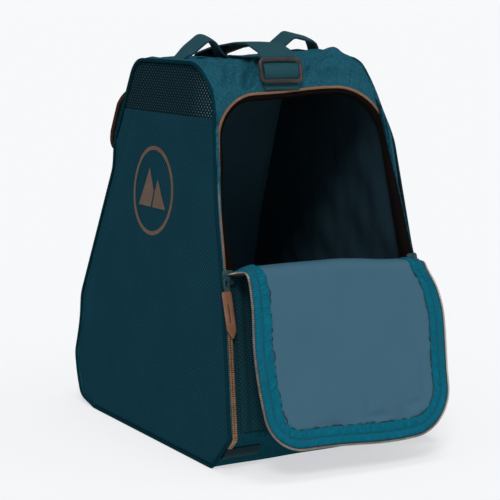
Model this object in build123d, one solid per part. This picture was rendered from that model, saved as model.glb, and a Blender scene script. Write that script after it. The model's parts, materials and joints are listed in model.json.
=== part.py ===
"""Ski boot bag: a stiffened fabric bag that narrows towards its top, standing on its base.

+Z is up and -Y is the door side. The origin is the middle of the base's underside. The door's
upper half is unzipped and hangs open from a fold, in front of the lower half that is still zipped.
"""
import math
import os
from build123d import *

os.makedirs("parts", exist_ok=True)

# ---- Driving dimensions, in millimetres and degrees ----
BASE_HALF_WIDTH = 125.5  # half the width at the floor
TAPER = 0.068  # half-width lost for each millimetre of height
TOP_Z = 388.0

# Side profile, as (y, z, corner radius), from the base's front edge round over the top
FOOT = (-133.0, 0.0, 14.0)
TOE = (-165.5, 35.0, 4.0)
BROW = (-94.5, 361.0, 8.0)
CROWN = (-58.0, TOP_Z, 14.0)
REAR_TOP = (80.0, TOP_Z, 26.0)
KNEE = (202.0, 119.0, 30.0)
HEEL = (200.5, 53.0, 22.0)
HEEL_FOOT = (174.0, 8.0, 16.0)
REAR_FOOT = (133.0, 0.0, 12.0)
PROFILE = [FOOT, TOE, BROW, CROWN, REAR_TOP, KNEE, HEEL, HEEL_FOOT, REAR_FOOT]
PROFILE_MIDDLE = (20.0, 190.0)

SHELL = 3.0  # gusset fabric with its foam
SIDE_FABRIC = 1.6
SIDE_FOAM = 2.4
LINING = 1.2
BOARD = 2.5
MESH = 2.0
MESH_Z = 335.0  # seam between the side panel and the mesh above it

ZIP_INSET = 5.0  # zip centre line in from the bag's side
DOOR_TOP_GAP = 5.0  # zip centre line below the brow
DOOR_CORNER = 45.0
DOOR_LOW = 6.5  # lower edge of the door above the toe, along the front face
FOLD_Z = 186.0  # height of the door's fold on the front face
FOLD_RADIUS = 17.0
OPEN_ANGLE = 175.0
TEETH_GAP = 0.9  # from the zip centre line to an open row of teeth
TEETH_EDGE = 3.2  # from the zip centre line to the outer edge of a row
TEETH_DEPTH = 1.8
TAPE_EDGE = 9.5
SEAM_DEPTH = 5.2

SLIDER_LENGTH = 14.0
SLIDER_WIDTH = 12.0
PULL_WIDTH = 9.5
PULL_LENGTH = 45.0
PULL_OFFSET = 5.5  # the pull hangs this far outboard of the zip
BAIL_DEPTH = -5.2  # pull hinge in front of the front face
LINK_DROP = 17.0

WEBBING = 2.0
HANDLE_WIDTH = 25.0
HANDLE_Y = 11.7
HANDLE_FOOT = 5.0  # height above the top where a loop's sewn foot ends
HANDLE_LIFT = 9.0  # height above the top where the loop that can tilt begins
HANDLE_PEAK = 26.5
STRAP_X = -9.0
STRAP_WIDTH = 38.0
BUCKLE_WIDTH, BUCKLE_HEIGHT = 48.0, 26.0
BUCKLE_BAR = 4.2
BUCKLE_ARM = 4.2

PAD_X = -50.0
PAD_WIDTH, PAD_LENGTH, PAD_THICKNESS = 70.0, 84.0, 8.0
PAD_BINDING = 3.0
STRAP_START_Z = 362.0  # where the strap leaves the rear face

REACH = 500.0  # longer than any side of the bag


def half_width(z):
    return BASE_HALF_WIDTH - TAPER * z


# ---- Planes of the faces that carry details ----
FRONT_RISE = math.hypot(BROW[0] - TOE[0], BROW[1] - TOE[1])
FRONT_SIN = (BROW[0] - TOE[0]) / FRONT_RISE
FRONT_COS = (BROW[1] - TOE[1]) / FRONT_RISE
FRONT = Plane(origin=(0, TOE[0], TOE[1]), x_dir=(1, 0, 0), z_dir=(0, -FRONT_COS, FRONT_SIN))

REAR_RISE = math.hypot(KNEE[0] - REAR_TOP[0], REAR_TOP[1] - KNEE[1])
REAR_DOWN = ((KNEE[0] - REAR_TOP[0]) / REAR_RISE, (KNEE[1] - REAR_TOP[1]) / REAR_RISE)
REAR_OUT = (-REAR_DOWN[1], REAR_DOWN[0])
REAR_START_Y = REAR_TOP[0] + (TOP_Z - STRAP_START_Z) * REAR_DOWN[0] / -REAR_DOWN[1]
REAR_ORIGIN = (0, REAR_START_Y, STRAP_START_Z)
REAR_SECTION = Plane(origin=REAR_ORIGIN, x_dir=(0, *REAR_DOWN), z_dir=(1, 0, 0))
REAR_PLAN = Plane(origin=REAR_ORIGIN, x_dir=(1, 0, 0), z_dir=(0, *REAR_OUT))

FOLD_V = (FOLD_Z - TOE[1]) / FRONT_COS
FOLD_CENTRE = (FRONT * Pos(0, FOLD_V, FOLD_RADIUS)).position


def keep(node, shape):
    """Write one sub-part to its own file."""
    export_step(shape, f"parts/{node}.step")


def face_of(points):
    return make_face(Polyline(*points, close=True))


# ---- The bag's block, cut by its side profile and its two flanks ----
def side_profile(inset=0.0):
    face = face_of([(y, z) for y, z, _ in PROFILE])
    for y, z, radius in PROFILE:
        corner = face.vertices().sort_by_distance((y, z, 0))[0]
        face = fillet(corner, radius)
    if inset:
        face = offset(face, amount=-inset)
    return face


def across(face):
    """A Y-Z face pulled across the bag's whole width."""
    return extrude(Plane.YZ * face, amount=REACH / 2, both=True)


def between_flanks(inset=0.0):
    low, high = -20.0, 450.0
    outline = [(half_width(low) - inset, low), (half_width(high) - inset, high)]
    outline += [(-x, z) for x, z in reversed(outline)]
    return extrude(Plane.XZ * face_of(outline), amount=REACH / 2, both=True)


def flank_slab(side, outer, inner, low=-20.0, high=450.0):
    """A layer parallel to one flank, from outer to inner millimetres inside it."""
    outline = [(side * (half_width(z) - outer), z) for z in (low, high)]
    outline += [(side * (half_width(z) - inner), z) for z in (high, low)]
    return extrude(Plane.XZ * face_of(outline), amount=REACH / 2, both=True)


def sector(start, end):
    """Everything between two rays from the profile's middle."""
    cy, cz = PROFILE_MIDDLE
    rays = [(cy + 3 * (p[0] - cy), cz + 3 * (p[1] - cz)) for p in (start, end)]
    return face_of([PROFILE_MIDDLE, *rays])


def gusset(start, end, outer=0.0, inner=SHELL, inset=0.0):
    """A stretch of the band that runs round the bag between its two side panels."""
    band = side_profile(outer) - side_profile(inner)
    return across(band & sector(start, end)) & between_flanks(inset)


def base_panel():
    return gusset(REAR_FOOT, FOOT)


def toe_panel():
    return gusset(FOOT, TOE)


def rear_lower_panel():
    return gusset(KNEE, REAR_FOOT)


def rear_upper_panel():
    return gusset(REAR_TOP, KNEE)


# ---- The door's outline on the front face ----
def door_outline(grow=0.0, low=0.0):
    """The zip's centre line as a face, grown or shrunk, and kept above low."""
    top = FRONT_RISE - DOOR_TOP_GAP
    corners = []
    for v in (-20.0, top):
        corners.append((half_width(TOE[1] + v * FRONT_COS) - ZIP_INSET, v))
    corners += [(-u, v) for u, v in reversed(corners)]
    face = face_of(corners)
    upper = face.vertices().sort_by(Axis.Y)[-2:]
    face = fillet(upper, DOOR_CORNER)
    if grow:
        face = offset(face, amount=grow)
    return face & (Pos(0, low + REACH / 2) * Rectangle(REACH, REACH))


def front_layer(face, outer, inner):
    """A face on the front, made solid from outer to inner millimetres below its surface."""
    return extrude(FRONT * Pos(0, 0, -inner) * face, amount=inner - outer)


STRIP_TOP_Z = 300.0
STRIP_TOP_V = (STRIP_TOP_Z - TOE[1]) / FRONT_COS
STRIP_TOP = (TOE[0] + STRIP_TOP_V * FRONT_SIN, STRIP_TOP_Z)


def top_panel():
    """Top, rounded brow and the two corners that frame the door's top."""
    whole = gusset(STRIP_TOP, REAR_TOP)
    return whole - front_layer(door_outline(TEETH_EDGE), -2.0, SHELL + 12.0)


def side_face(side, outer, inner, low, high):
    """A layer of a side wall inside the gusset, cut back behind the zip."""
    layer = across(side_profile(SHELL)) & flank_slab(side, outer, inner, low, high)
    behind_zip = Pos(0, STRIP_TOP_V / 2) * Rectangle(REACH, STRIP_TOP_V + 12.0)
    return layer - front_layer(behind_zip, -2.0, SEAM_DEPTH)


def side_panel(side):
    return side_face(side, 0.0, SIDE_FABRIC, -20.0, MESH_Z)


def side_foam(side):
    return side_face(side, SIDE_FABRIC, SIDE_FABRIC + SIDE_FOAM, -20.0, MESH_Z)


def mesh_panel(side):
    return side_face(side, 0.0, MESH, MESH_Z, 450.0)


def side_lining(side):
    outer = SIDE_FABRIC + SIDE_FOAM
    return side_face(side, outer, outer + LINING, SHELL + BOARD + LINING, 450.0)


def front_seam(side):
    """The narrow seam allowance between a side panel and the zip."""
    outline = []
    for v in (DOOR_LOW, STRIP_TOP_V - 3.5):
        edge = half_width(TOE[1] + v * FRONT_COS)
        outline.append((side * edge, v))
        outline.insert(0, (side * (edge - ZIP_INSET + TEETH_EDGE + 0.1), v))
    return front_layer(face_of(outline), 0.0, SEAM_DEPTH)


def piping(side):
    """The cord piping that stands proud all round a side panel's edge."""
    ring = side_profile() - side_profile(2.4)
    return across(ring) & flank_slab(side, -1.8, 0.0)


# ---- Linings and the board inside ----
INNER_FLANK = SIDE_FABRIC + SIDE_FOAM
FLOOR_TOP = SHELL + BOARD + LINING


def above_floor():
    return Pos(0, 0, FLOOR_TOP + REACH / 2) * Box(REACH, REACH, REACH)


def lining_top():
    whole = gusset(STRIP_TOP, REAR_TOP, SHELL, SHELL + LINING, INNER_FLANK + LINING)
    return whole - front_layer(door_outline(TEETH_EDGE + 1.0), -2.0, SHELL + 14.0)


def lining_rear():
    upper = gusset(REAR_TOP, KNEE, SHELL, SHELL + LINING, INNER_FLANK + LINING)
    lower = gusset(KNEE, REAR_FOOT, SHELL, SHELL + LINING, INNER_FLANK + LINING)
    return (upper + lower) & above_floor()


def floor_plate(low, high):
    plate = Pos(0, 0, (low + high) / 2) * Box(REACH, REACH, high - low)
    return plate & across(side_profile(SHELL)) & between_flanks(INNER_FLANK + LINING)


def base_board():
    return floor_plate(SHELL, SHELL + BOARD)


def lining_floor():
    return floor_plate(SHELL + BOARD, FLOOR_TOP)


# ---- Lower half of the door, still zipped ----
def lower_part(face):
    return face & (Pos(0, FOLD_V - 1.0 - REACH / 2) * Rectangle(REACH, REACH))


def door_lower(outer, inner):
    return front_layer(lower_part(door_outline(-TAPE_EDGE, DOOR_LOW)), outer, inner)


def one_side(face, side):
    return face & (Pos(side * REACH / 2, 0) * Rectangle(REACH, 2 * REACH))


def lower_zip_tape(side):
    ring = door_outline(-TEETH_EDGE, DOOR_LOW) - door_outline(-TAPE_EDGE)
    return front_layer(one_side(lower_part(ring), side), 0.4, 1.4)


def lower_zip_teeth(side):
    ring = door_outline(TEETH_EDGE, DOOR_LOW) - door_outline(-TEETH_EDGE)
    return front_layer(one_side(lower_part(ring), side), 0.0, TEETH_DEPTH)


def body_zip_teeth():
    """The open row of teeth that stays on the bag, from fold to fold over the top."""
    ring = door_outline(TEETH_EDGE, FOLD_V + 1.0) - door_outline(TEETH_GAP)
    return front_layer(ring, 0.0, TEETH_DEPTH)


def door_fold():
    """The rolled fabric where the door folds: a short flat lip and a hook over the fold line."""
    half = 97.0  # clear of the sliders at both ends
    lip_length = 8.0
    arc_radius = FOLD_RADIUS - 0.4
    thickness = 2.4
    ring = Circle(arc_radius) - Circle(arc_radius - thickness)
    upper = Pos(0, REACH / 2) * Rectangle(REACH, REACH)
    lip_place = Pos(-FOLD_RADIUS + thickness / 2 + 0.2, -lip_length / 2)
    lip = lip_place * Rectangle(thickness + 0.4, lip_length)
    section = (ring & upper) + lip
    hinge = Plane(origin=FOLD_CENTRE, x_dir=(0, -FRONT_COS, FRONT_SIN), z_dir=(-1, 0, 0))
    return extrude(hinge * section, amount=half, both=True)


def zip_end_tab(side):
    """A folded webbing tab sewn over the zip's lower end, on the chamfer under the door."""
    run = math.hypot(TOE[0] - FOOT[0], TOE[1])
    along = ((TOE[0] - FOOT[0]) / run, TOE[1] / run)
    chamfer = Plane(origin=(0, FOOT[0], 0), x_dir=(1, 0, 0), z_dir=(0, -along[1], along[0]))
    tab = Pos(side * 104.0, 26.0) * RectangleRounded(37.0, 17.0, 1.5)
    return extrude(chamfer * tab, amount=1.8)


# ---- Upper half of the door, built closed and then swung open ----
def swung_open(shape):
    return shape.rotate(Axis(FOLD_CENTRE, (1, 0, 0)), OPEN_ANGLE)


FLAP_V = FOLD_V + 1.0


def flap_sheet(outer, inner):
    return swung_open(front_layer(door_outline(-TAPE_EDGE, FLAP_V), outer, inner))


def flap_binding():
    ring = door_outline(-7.0, FLAP_V + 14.0) - door_outline(-21.0)
    return swung_open(front_layer(ring, 3.0, 4.2))


def flap_zip_tape():
    ring = door_outline(-TEETH_EDGE, FLAP_V + 14.0) - door_outline(-TAPE_EDGE)
    return swung_open(front_layer(ring, 0.4, 1.4))


def flap_zip_teeth():
    ring = door_outline(-TEETH_GAP, FLAP_V + 14.0) - door_outline(-TEETH_EDGE)
    return swung_open(front_layer(ring, 0.0, TEETH_DEPTH))


# ---- Zip sliders and their pulls ----
ZIP_LEAN = math.degrees(math.atan(TAPER * FRONT_COS))


def zip_frame(side):
    """A frame on the zip's centre line at the fold, with +Y up the zip."""
    u = side * (half_width(FOLD_Z) - ZIP_INSET)
    return FRONT * Pos(u, FOLD_V, 0) * Rot(0, 0, side * ZIP_LEAN)


def zip_slider(side):
    """Two plates joined by a wedge between the rows of teeth, with a bail for the pull."""
    front = Pos(0, 0, 0.4) * extrude(RectangleRounded(SLIDER_WIDTH, SLIDER_LENGTH, 3.0), amount=2.2)
    rear = Pos(side * -1.0, 0, -3.8) * extrude(RectangleRounded(8.0, SLIDER_LENGTH, 2.0), amount=1.6)
    wedge = Pos(0, 4.0, -2.2) * extrude(Rectangle(1.1, 4.0), amount=2.6)
    post = Pos(side * PULL_OFFSET * 0.5, -1.5, 2.6) * extrude(Rectangle(3.4, 4.0), amount=4.2)
    hole = Pos(side * PULL_OFFSET * 0.5, -1.5, -BAIL_DEPTH) * Rot(0, 90, 0) * Cylinder(1.3, 10.0)
    return zip_frame(side) * (front + rear + wedge + (post - hole))


def pull_frame(side):
    """A frame at the pull's hinge, level across the bag."""
    spot = zip_frame(side) * Pos(side * PULL_OFFSET * 0.5, -1.5, -BAIL_DEPTH)
    return Plane(origin=spot.position, x_dir=(1, 0, 0), z_dir=FRONT.z_dir)


def pull_link(side):
    """A bent wire loop through the bail, wide at its lower end where the leather hangs."""
    wire = 0.9
    half = 3.6
    shift = side * PULL_OFFSET * 0.5
    hinge_pin = Rot(0, 90, 0) * Cylinder(wire, 2 * half)
    legs = []
    for lean in (-1, 1):
        start = Vector(lean * half, 0, 0)
        end = Vector(shift + lean * 3.2, -LINK_DROP, 0)
        run = end - start
        leg = extrude(Plane(origin=start, z_dir=run) * Circle(wire), amount=run.length)
        legs.append(leg + Pos(start.X, start.Y, start.Z) * Sphere(wire))
        legs.append(Pos(end.X, end.Y, end.Z) * Sphere(wire))
    lower_pin = Pos(shift, -LINK_DROP, 0) * Rot(0, 90, 0) * Cylinder(wire, 6.4)
    return pull_frame(side) * (hinge_pin + lower_pin + legs)


def zip_pull(side):
    """A leather strap end that hangs from the link, with a pointed tip and a slit."""
    top = -LINK_DROP - 1.2
    half = PULL_WIDTH / 2
    outline = [(-half, top), (half, top), (half, top - PULL_LENGTH + 9.0)]
    outline += [(1.5, top - PULL_LENGTH), (-1.5, top - PULL_LENGTH)]
    outline += [(-half, top - PULL_LENGTH + 9.0)]
    strip = fillet(face_of(outline).vertices(), 1.2)
    slit = Pos(0, top - 21.0) * RectangleRounded(1.6, 16.0, 0.7)
    tab = Pos(side * PULL_OFFSET * 0.5, 0, -1.1) * extrude(strip, amount=2.2)
    groove = Pos(side * PULL_OFFSET * 0.5, 0, 0.3) * extrude(slit, amount=2.0)
    return pull_frame(side) * (tab - groove)


# ---- Grab handle across the top ----
HANDLE_SPANS = {-1: (-90.0, -50.0, -31.0), 1: (90.0, 55.0, 15.0)}  # outer foot, peak, inner foot


def handle_arch(side):
    outer_x, peak_x, inner_x = HANDLE_SPANS[side]
    peak = (peak_x, TOP_Z + HANDLE_PEAK)
    arch = face_of([(outer_x, TOP_Z), peak, (inner_x, TOP_Z)])
    arch = fillet(arch.vertices().sort_by_distance((*peak, 0))[0], 12.0)
    hollow = Pos(0, -WEBBING) * arch
    inside = offset(arch, amount=-WEBBING)
    return arch - inside - (hollow & inside)


def handle_band(face):
    return extrude(Plane((0, HANDLE_Y, 0), (1, 0, 0), (0, -1, 0)) * face, HANDLE_WIDTH / 2, both=True)


def handle_slice(side, low, high):
    window = Pos(0, (low + high) / 2) * Rectangle(REACH, high - low)
    return handle_arch(side) & window


def grab_handle(side):
    return handle_band(handle_slice(side, TOP_Z + HANDLE_LIFT, TOP_Z + 60.0))


def handle_feet(side):
    """The two short stumps of the loop, stitched down to the flat webbing."""
    return handle_band(handle_slice(side, TOP_Z + WEBBING, TOP_Z + HANDLE_FOOT))


def handle_base_webbing():
    """The flat webbing that runs from side seam to side seam under both loops."""
    half = half_width(TOP_Z) - 1.0
    return handle_band(Pos(0, TOP_Z + WEBBING / 2) * Rectangle(2 * half, WEBBING))


# ---- Shoulder strap: over the top, through the buckle, and down the rear ----
STRAP_FOOT = (-91.5, 365.4)
STRAP_BROW = (-83.0, 397.3)
STRAP_RUN = math.hypot(STRAP_BROW[0] - STRAP_FOOT[0], STRAP_BROW[1] - STRAP_FOOT[1])
STRAP_UP = tuple((b - a) / STRAP_RUN for a, b in zip(STRAP_FOOT, STRAP_BROW))
BUCKLE_RISE = 13.9  # buckle's middle above the strap's foot, along the strap
STRAP_REAR_Y = 94.5
STRAP_TURN = math.radians(4.4)  # the strap runs to one side on its way to the front
STRAP_AHEAD = (math.sin(STRAP_TURN), math.cos(STRAP_TURN))
STRAP_ACROSS = (STRAP_AHEAD[1], -STRAP_AHEAD[0], 0)
STRAP_SECTION = Plane(
    origin=(STRAP_X, STRAP_REAR_Y, 0), x_dir=(*STRAP_AHEAD, 0), z_dir=STRAP_ACROSS
)


def strap_path():
    bend = (-51.0, 405.0)
    crest = (-20.0, 405.5)
    over_handle = (35.0, 400.0)
    rear_edge = (77.0, 392.5)
    rear_turn = (STRAP_REAR_Y, 368.0)
    points = [STRAP_FOOT, STRAP_BROW, bend, crest, over_handle, rear_edge, rear_turn]
    return FilletPolyline(*[(y - STRAP_REAR_Y, z) for y, z in points], radius=9.0)


def shoulder_strap_top():
    """Webbing from its anchor above the door, standing proud over the top, to the rear edge."""
    centre = strap_path()
    band = offset(Wire(centre.edges()), amount=WEBBING / 2, side=Side.BOTH)
    return extrude(STRAP_SECTION * make_face(band.edges()), amount=STRAP_WIDTH / 2, both=True)


def buckle_frame():
    ahead, z = (foot + BUCKLE_RISE * step for foot, step in zip(STRAP_FOOT, STRAP_UP))
    ahead -= STRAP_REAR_Y
    middle = (STRAP_X + ahead * STRAP_AHEAD[0], STRAP_REAR_Y + ahead * STRAP_AHEAD[1], z)
    normal = (-STRAP_UP[1] * STRAP_AHEAD[0], -STRAP_UP[1] * STRAP_AHEAD[1], STRAP_UP[0])
    return Plane(origin=middle, x_dir=STRAP_ACROSS, z_dir=normal)


def strap_buckle():
    """A slide adjuster: a frame over the webbing and one bar under it."""
    above = WEBBING / 2 + 0.3
    below = -above - 2.0
    height = 3.4
    window = (BUCKLE_WIDTH - 2 * BUCKLE_ARM, BUCKLE_HEIGHT - 2 * BUCKLE_BAR)
    ring = RectangleRounded(BUCKLE_WIDTH, BUCKLE_HEIGHT, 4.0) - RectangleRounded(*window, 1.5)
    frame = Pos(0, 0, above) * extrude(ring, amount=height)
    frame = fillet(frame.edges().group_by(Axis.Z)[-1], 1.0)
    centre_bar = Pos(0, 0, below + 1.0) * Box(BUCKLE_WIDTH, BUCKLE_BAR, 2.0)
    cheeks = []
    for side in (-1, 1):
        x = side * (BUCKLE_WIDTH - BUCKLE_ARM) / 2
        cheek = Pos(x, 0, (above + below) / 2) * Box(BUCKLE_ARM, BUCKLE_BAR * 2, above - below)
        cheeks.append(cheek)
    return buckle_frame() * (frame + centre_bar + cheeks)


# The strap's rear part, as (distance down the rear face, height off it)
SLING_TOP = (12.0, 6.0)
SLING_BULGE = (75.0, 18.0)
SLING_END = (190.0, 5.0)


def sling_ribbon(lift, thickness):
    """The rear strap's curve, as a sheet of one thickness across the whole bag."""
    low = [(t, b + lift) for t, b in (SLING_TOP, SLING_BULGE, SLING_END)]
    high = [(t, b + lift + thickness) for t, b in (SLING_TOP, SLING_BULGE, SLING_END)]
    edges = [ThreePointArc(*low), Line(low[2], high[2]), ThreePointArc(*reversed(high))]
    section = make_face([*edges, Line(high[0], low[0])])
    return extrude(REAR_SECTION * section, amount=REACH / 2, both=True)


def from_plan(face):
    return extrude(REAR_PLAN * face, amount=REACH / 4)


def pad_outline(grow=0.0):
    corner = 12.0 + grow
    outline = RectangleRounded(PAD_WIDTH + 2 * grow, PAD_LENGTH + 2 * grow, corner)
    return Pos(PAD_X, 58.0) * outline


def sling_outline():
    """The webbing drifts to one side as it hangs and comes back to its lower anchor."""
    half = STRAP_WIDTH / 2
    centre = [(STRAP_X, 0.0), (PAD_X, 45.0), (PAD_X, 95.0), (STRAP_X, 230.0)]
    left = [(x - half, t) for x, t in centre]
    right = [(x + half, t) for x, t in reversed(centre)]
    return face_of(left + right)


def shoulder_strap_rear():
    return sling_ribbon(PAD_THICKNESS, WEBBING) & from_plan(sling_outline())


def shoulder_pad():
    return sling_ribbon(0.0, PAD_THICKNESS) & from_plan(pad_outline(-PAD_BINDING))


def shoulder_pad_binding():
    ring = pad_outline() - pad_outline(-PAD_BINDING)
    return sling_ribbon(0.0, PAD_THICKNESS) & from_plan(ring)


def strap_anchor_rear():
    """Lower end of the shoulder strap, sewn flat to the rear face under a patch."""
    patch = Pos(STRAP_X, 226.0) * RectangleRounded(STRAP_WIDTH, 40.0, 2.0)
    return extrude(REAR_PLAN * patch, amount=WEBBING)


# ---- A plain round print on the left side panel ----
def side_badge():
    """A ring round two mountain peaks, printed on the side panel."""
    y, z, radius = 18.0, 255.0, 46.0
    print_height = 0.5
    plane = Plane(origin=(-half_width(z), y, z), x_dir=(0, -1, 0), z_dir=(-1, 0, TAPER))
    ring = Circle(radius) - Circle(radius - 4.0)
    peaks = face_of([(-30, -18), (-9, 20), (1, 3), (9, 13), (30, -18)])
    return extrude(plane * (ring + peaks), amount=print_height)


SIDES = {"left": -1, "right": 1}

for name, side in SIDES.items():
    keep(f"side_panel_{name}", side_panel(side))
    keep(f"side_foam_{name}", side_foam(side))
    keep(f"side_lining_{name}", side_lining(side))
    keep(f"mesh_panel_{name}", mesh_panel(side))
    keep(f"front_seam_{name}", front_seam(side))
    keep(f"piping_{name}", piping(side))
    keep(f"lower_zip_tape_{name}", lower_zip_tape(side))
    keep(f"lower_zip_teeth_{name}", lower_zip_teeth(side))
    keep(f"zip_end_tab_{name}", zip_end_tab(side))
    keep(f"zip_slider_{name}", zip_slider(side))
    keep(f"pull_link_{name}", pull_link(side))
    keep(f"zip_pull_{name}", zip_pull(side))
    keep(f"grab_handle_{name}", grab_handle(side))
    keep(f"handle_feet_{name}", handle_feet(side))

keep("base_panel", base_panel())
keep("toe_panel", toe_panel())
keep("rear_lower_panel", rear_lower_panel())
keep("rear_upper_panel", rear_upper_panel())
keep("top_panel", top_panel())
keep("lining_top", lining_top())
keep("lining_rear", lining_rear())
keep("lining_floor", lining_floor())
keep("base_board", base_board())
keep("door_lower_panel", door_lower(0.0, 1.6))
keep("door_lower_lining", door_lower(1.6, 3.0))
keep("door_fold", door_fold())
keep("body_zip_teeth", body_zip_teeth())
keep("flap_panel", flap_sheet(0.0, 1.6))
keep("flap_lining", flap_sheet(1.6, 3.0))
keep("flap_binding", flap_binding())
keep("flap_zip_tape", flap_zip_tape())
keep("flap_zip_teeth", flap_zip_teeth())
keep("handle_base_webbing", handle_base_webbing())
keep("shoulder_strap_top", shoulder_strap_top())
keep("strap_buckle", strap_buckle())
keep("shoulder_strap_rear", shoulder_strap_rear())
keep("shoulder_pad", shoulder_pad())
keep("shoulder_pad_binding", shoulder_pad_binding())
keep("strap_anchor_rear", strap_anchor_rear())
keep("side_badge", side_badge())
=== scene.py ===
"""Ski boot bag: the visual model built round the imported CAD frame. Lengths are in millimetres and
turn into metres when a mesh is made."""
import json
import math

import bmesh
import bpy
import numpy as np
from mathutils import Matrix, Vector


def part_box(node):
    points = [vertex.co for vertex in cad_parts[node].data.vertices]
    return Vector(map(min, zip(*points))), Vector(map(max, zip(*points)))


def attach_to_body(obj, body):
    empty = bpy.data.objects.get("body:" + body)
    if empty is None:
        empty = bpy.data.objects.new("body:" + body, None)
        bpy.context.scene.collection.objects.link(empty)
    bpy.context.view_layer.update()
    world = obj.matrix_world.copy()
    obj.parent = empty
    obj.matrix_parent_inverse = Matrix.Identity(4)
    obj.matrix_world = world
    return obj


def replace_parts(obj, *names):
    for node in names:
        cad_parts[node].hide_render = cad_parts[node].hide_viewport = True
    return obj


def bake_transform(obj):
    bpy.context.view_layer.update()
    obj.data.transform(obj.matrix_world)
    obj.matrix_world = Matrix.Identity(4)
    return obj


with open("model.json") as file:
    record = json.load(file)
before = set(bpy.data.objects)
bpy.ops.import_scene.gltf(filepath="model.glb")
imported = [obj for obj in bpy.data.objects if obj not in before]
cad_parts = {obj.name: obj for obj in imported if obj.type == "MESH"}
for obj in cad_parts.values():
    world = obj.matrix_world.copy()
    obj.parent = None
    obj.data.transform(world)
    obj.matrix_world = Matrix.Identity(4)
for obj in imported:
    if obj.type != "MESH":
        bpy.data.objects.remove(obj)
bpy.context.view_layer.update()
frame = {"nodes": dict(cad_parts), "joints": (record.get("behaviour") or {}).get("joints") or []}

MM = 0.001
JOINTS = {j["name"]: j for j in frame["joints"]}
SIDES = ((-1, "left"), (1, "right"))
PIPINGS = ("piping_left", "piping_right")


def cad(node):
    """A CAD node's lowest and highest corners, in millimetres."""
    low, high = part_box(node)
    return np.array(low) / MM, np.array(high) / MM


# ---------------------------------------------------------------- the bag's shape, from the frame
TOP_Z = cad("top_panel")[1][2]
SIDE_LOW = cad("side_panel_left")[0]
MESH_LOW = cad("mesh_panel_left")[0]
MESH_Z = MESH_LOW[2]
TAPER = (MESH_LOW[0] - SIDE_LOW[0]) / (MESH_LOW[2] - SIDE_LOW[2])
BASE_HALF = -SIDE_LOW[0] + TAPER * SIDE_LOW[2]
TOE_Y, TOE_Z = cad("toe_panel")[0][1] - 0.4, 35.0
REAR_Y = cad("rear_lower_panel")[1][1]

BROW_RADIUS = 44.0
BROW_REACH = 0.376 * BROW_RADIUS  # from the brow's corner back to where its arc starts
TOE_BACK, TOE_DOWN = 0.68, 0.733  # the toe panel's direction, down from the front face

# Side profile as (y, z, corner radius), the same corners as the CAD panels
PROFILE = [
    (-133.0, 0.0, 14.0), (-165.5, TOE_Z, 6.0), (-94.5, 361.0, BROW_RADIUS), (-58.0, TOP_Z, 56.0),
    (80.0, TOP_Z, 26.0), (REAR_Y, 119.0, 34.0), (200.5, 53.0, 24.0), (174.0, 8.0, 18.0),
    (133.0, 0.0, 12.0),
]
FOOT, TOE, BROW, CROWN, REAR_TOP, KNEE, HEEL, HEEL_FOOT, REAR_FOOT = range(9)

# Where the band round the bag is sewn across
REAR_SEAM = (119.0, 302.0, 0)
KNEE_SEAM = (PROFILE[KNEE][0] - 1.0, 88.0, 0)
BASE_REAR_SEAM, BASE_FRONT_SEAM = (140.0, 1.4, 0), (-122.0, 0.0, 0)


def half_width(z):
    """The half width of the CAD body at height z."""
    return BASE_HALF - TAPER * z


def ease(t):
    """A smooth step from 0 at t = 0 to 1 at t = 1."""
    t = np.clip(t, 0.0, 1.0)
    return t * t * (3 - 2 * t)


def hump(a, width, b=0.0, length=1.0):
    """A smooth bump of height 1 where a and b are 0, with the given half widths."""
    return np.exp(-(a / width) ** 2 - (b / length) ** 2)


def unit(vectors):
    return vectors / np.linalg.norm(vectors, axis=-1, keepdims=True)


def tangents(points):
    return unit(np.gradient(points, axis=0))


def turned(tangent):
    """The outward normals of tangents that run forwards to rearwards over the bag."""
    return np.stack([-tangent[:, 1], tangent[:, 0]], 1)


def lengths_along(points):
    return np.r_[0, np.cumsum(np.linalg.norm(np.diff(points, axis=0), axis=1))]


def rounded_path(corners, closed=False, arc_steps=9):
    """A polyline through corners (y, z, radius), with an arc at each one that has a radius."""
    out = []
    n = len(corners)
    for i, (y, z, radius) in enumerate(corners):
        here = np.array([y, z])
        if not closed and i in (0, n - 1):
            out.append(here)
            continue
        before = np.array(corners[i - 1][:2])
        after = np.array(corners[(i + 1) % n][:2])
        a = (before - here) / np.linalg.norm(before - here)
        b = (after - here) / np.linalg.norm(after - here)
        half = math.acos(np.clip(a @ b, -1, 1)) / 2
        reach = radius / math.tan(half)
        centre = here + (a + b) / np.linalg.norm(a + b) * radius / math.sin(half)
        start, end = here + a * reach - centre, here + b * reach - centre
        turn = math.atan2(start[0] * end[1] - start[1] * end[0], start @ end)
        for k in range(arc_steps + 1):
            angle = turn * k / arc_steps
            c, s = math.cos(angle), math.sin(angle)
            out.append(centre + (start[0] * c - start[1] * s, start[0] * s + start[1] * c))
    return np.array(out)


def resample(points, step):
    """Points at an even spacing near step along a polyline, both ends kept."""
    lengths = lengths_along(points)
    n = max(2, int(round(lengths[-1] / step)) + 1)
    at = np.linspace(0, lengths[-1], n)
    return np.stack([np.interp(at, lengths, points[:, k]) for k in range(points.shape[1])], 1)


OUTLINE = rounded_path(PROFILE, closed=True)


def profile_span(z):
    """Front and rear y of the side profile at height z."""
    z = min(max(z, 0.02), TOP_Z - 0.02)
    loop = np.vstack([OUTLINE, OUTLINE[:1]])
    hits = []
    for (y0, z0), (y1, z1) in zip(loop[:-1], loop[1:]):
        if (z0 - z) * (z1 - z) <= 0 and z0 != z1:
            hits.append(y0 + (y1 - y0) * (z - z0) / (z1 - z0))
    return min(hits), max(hits)


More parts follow.
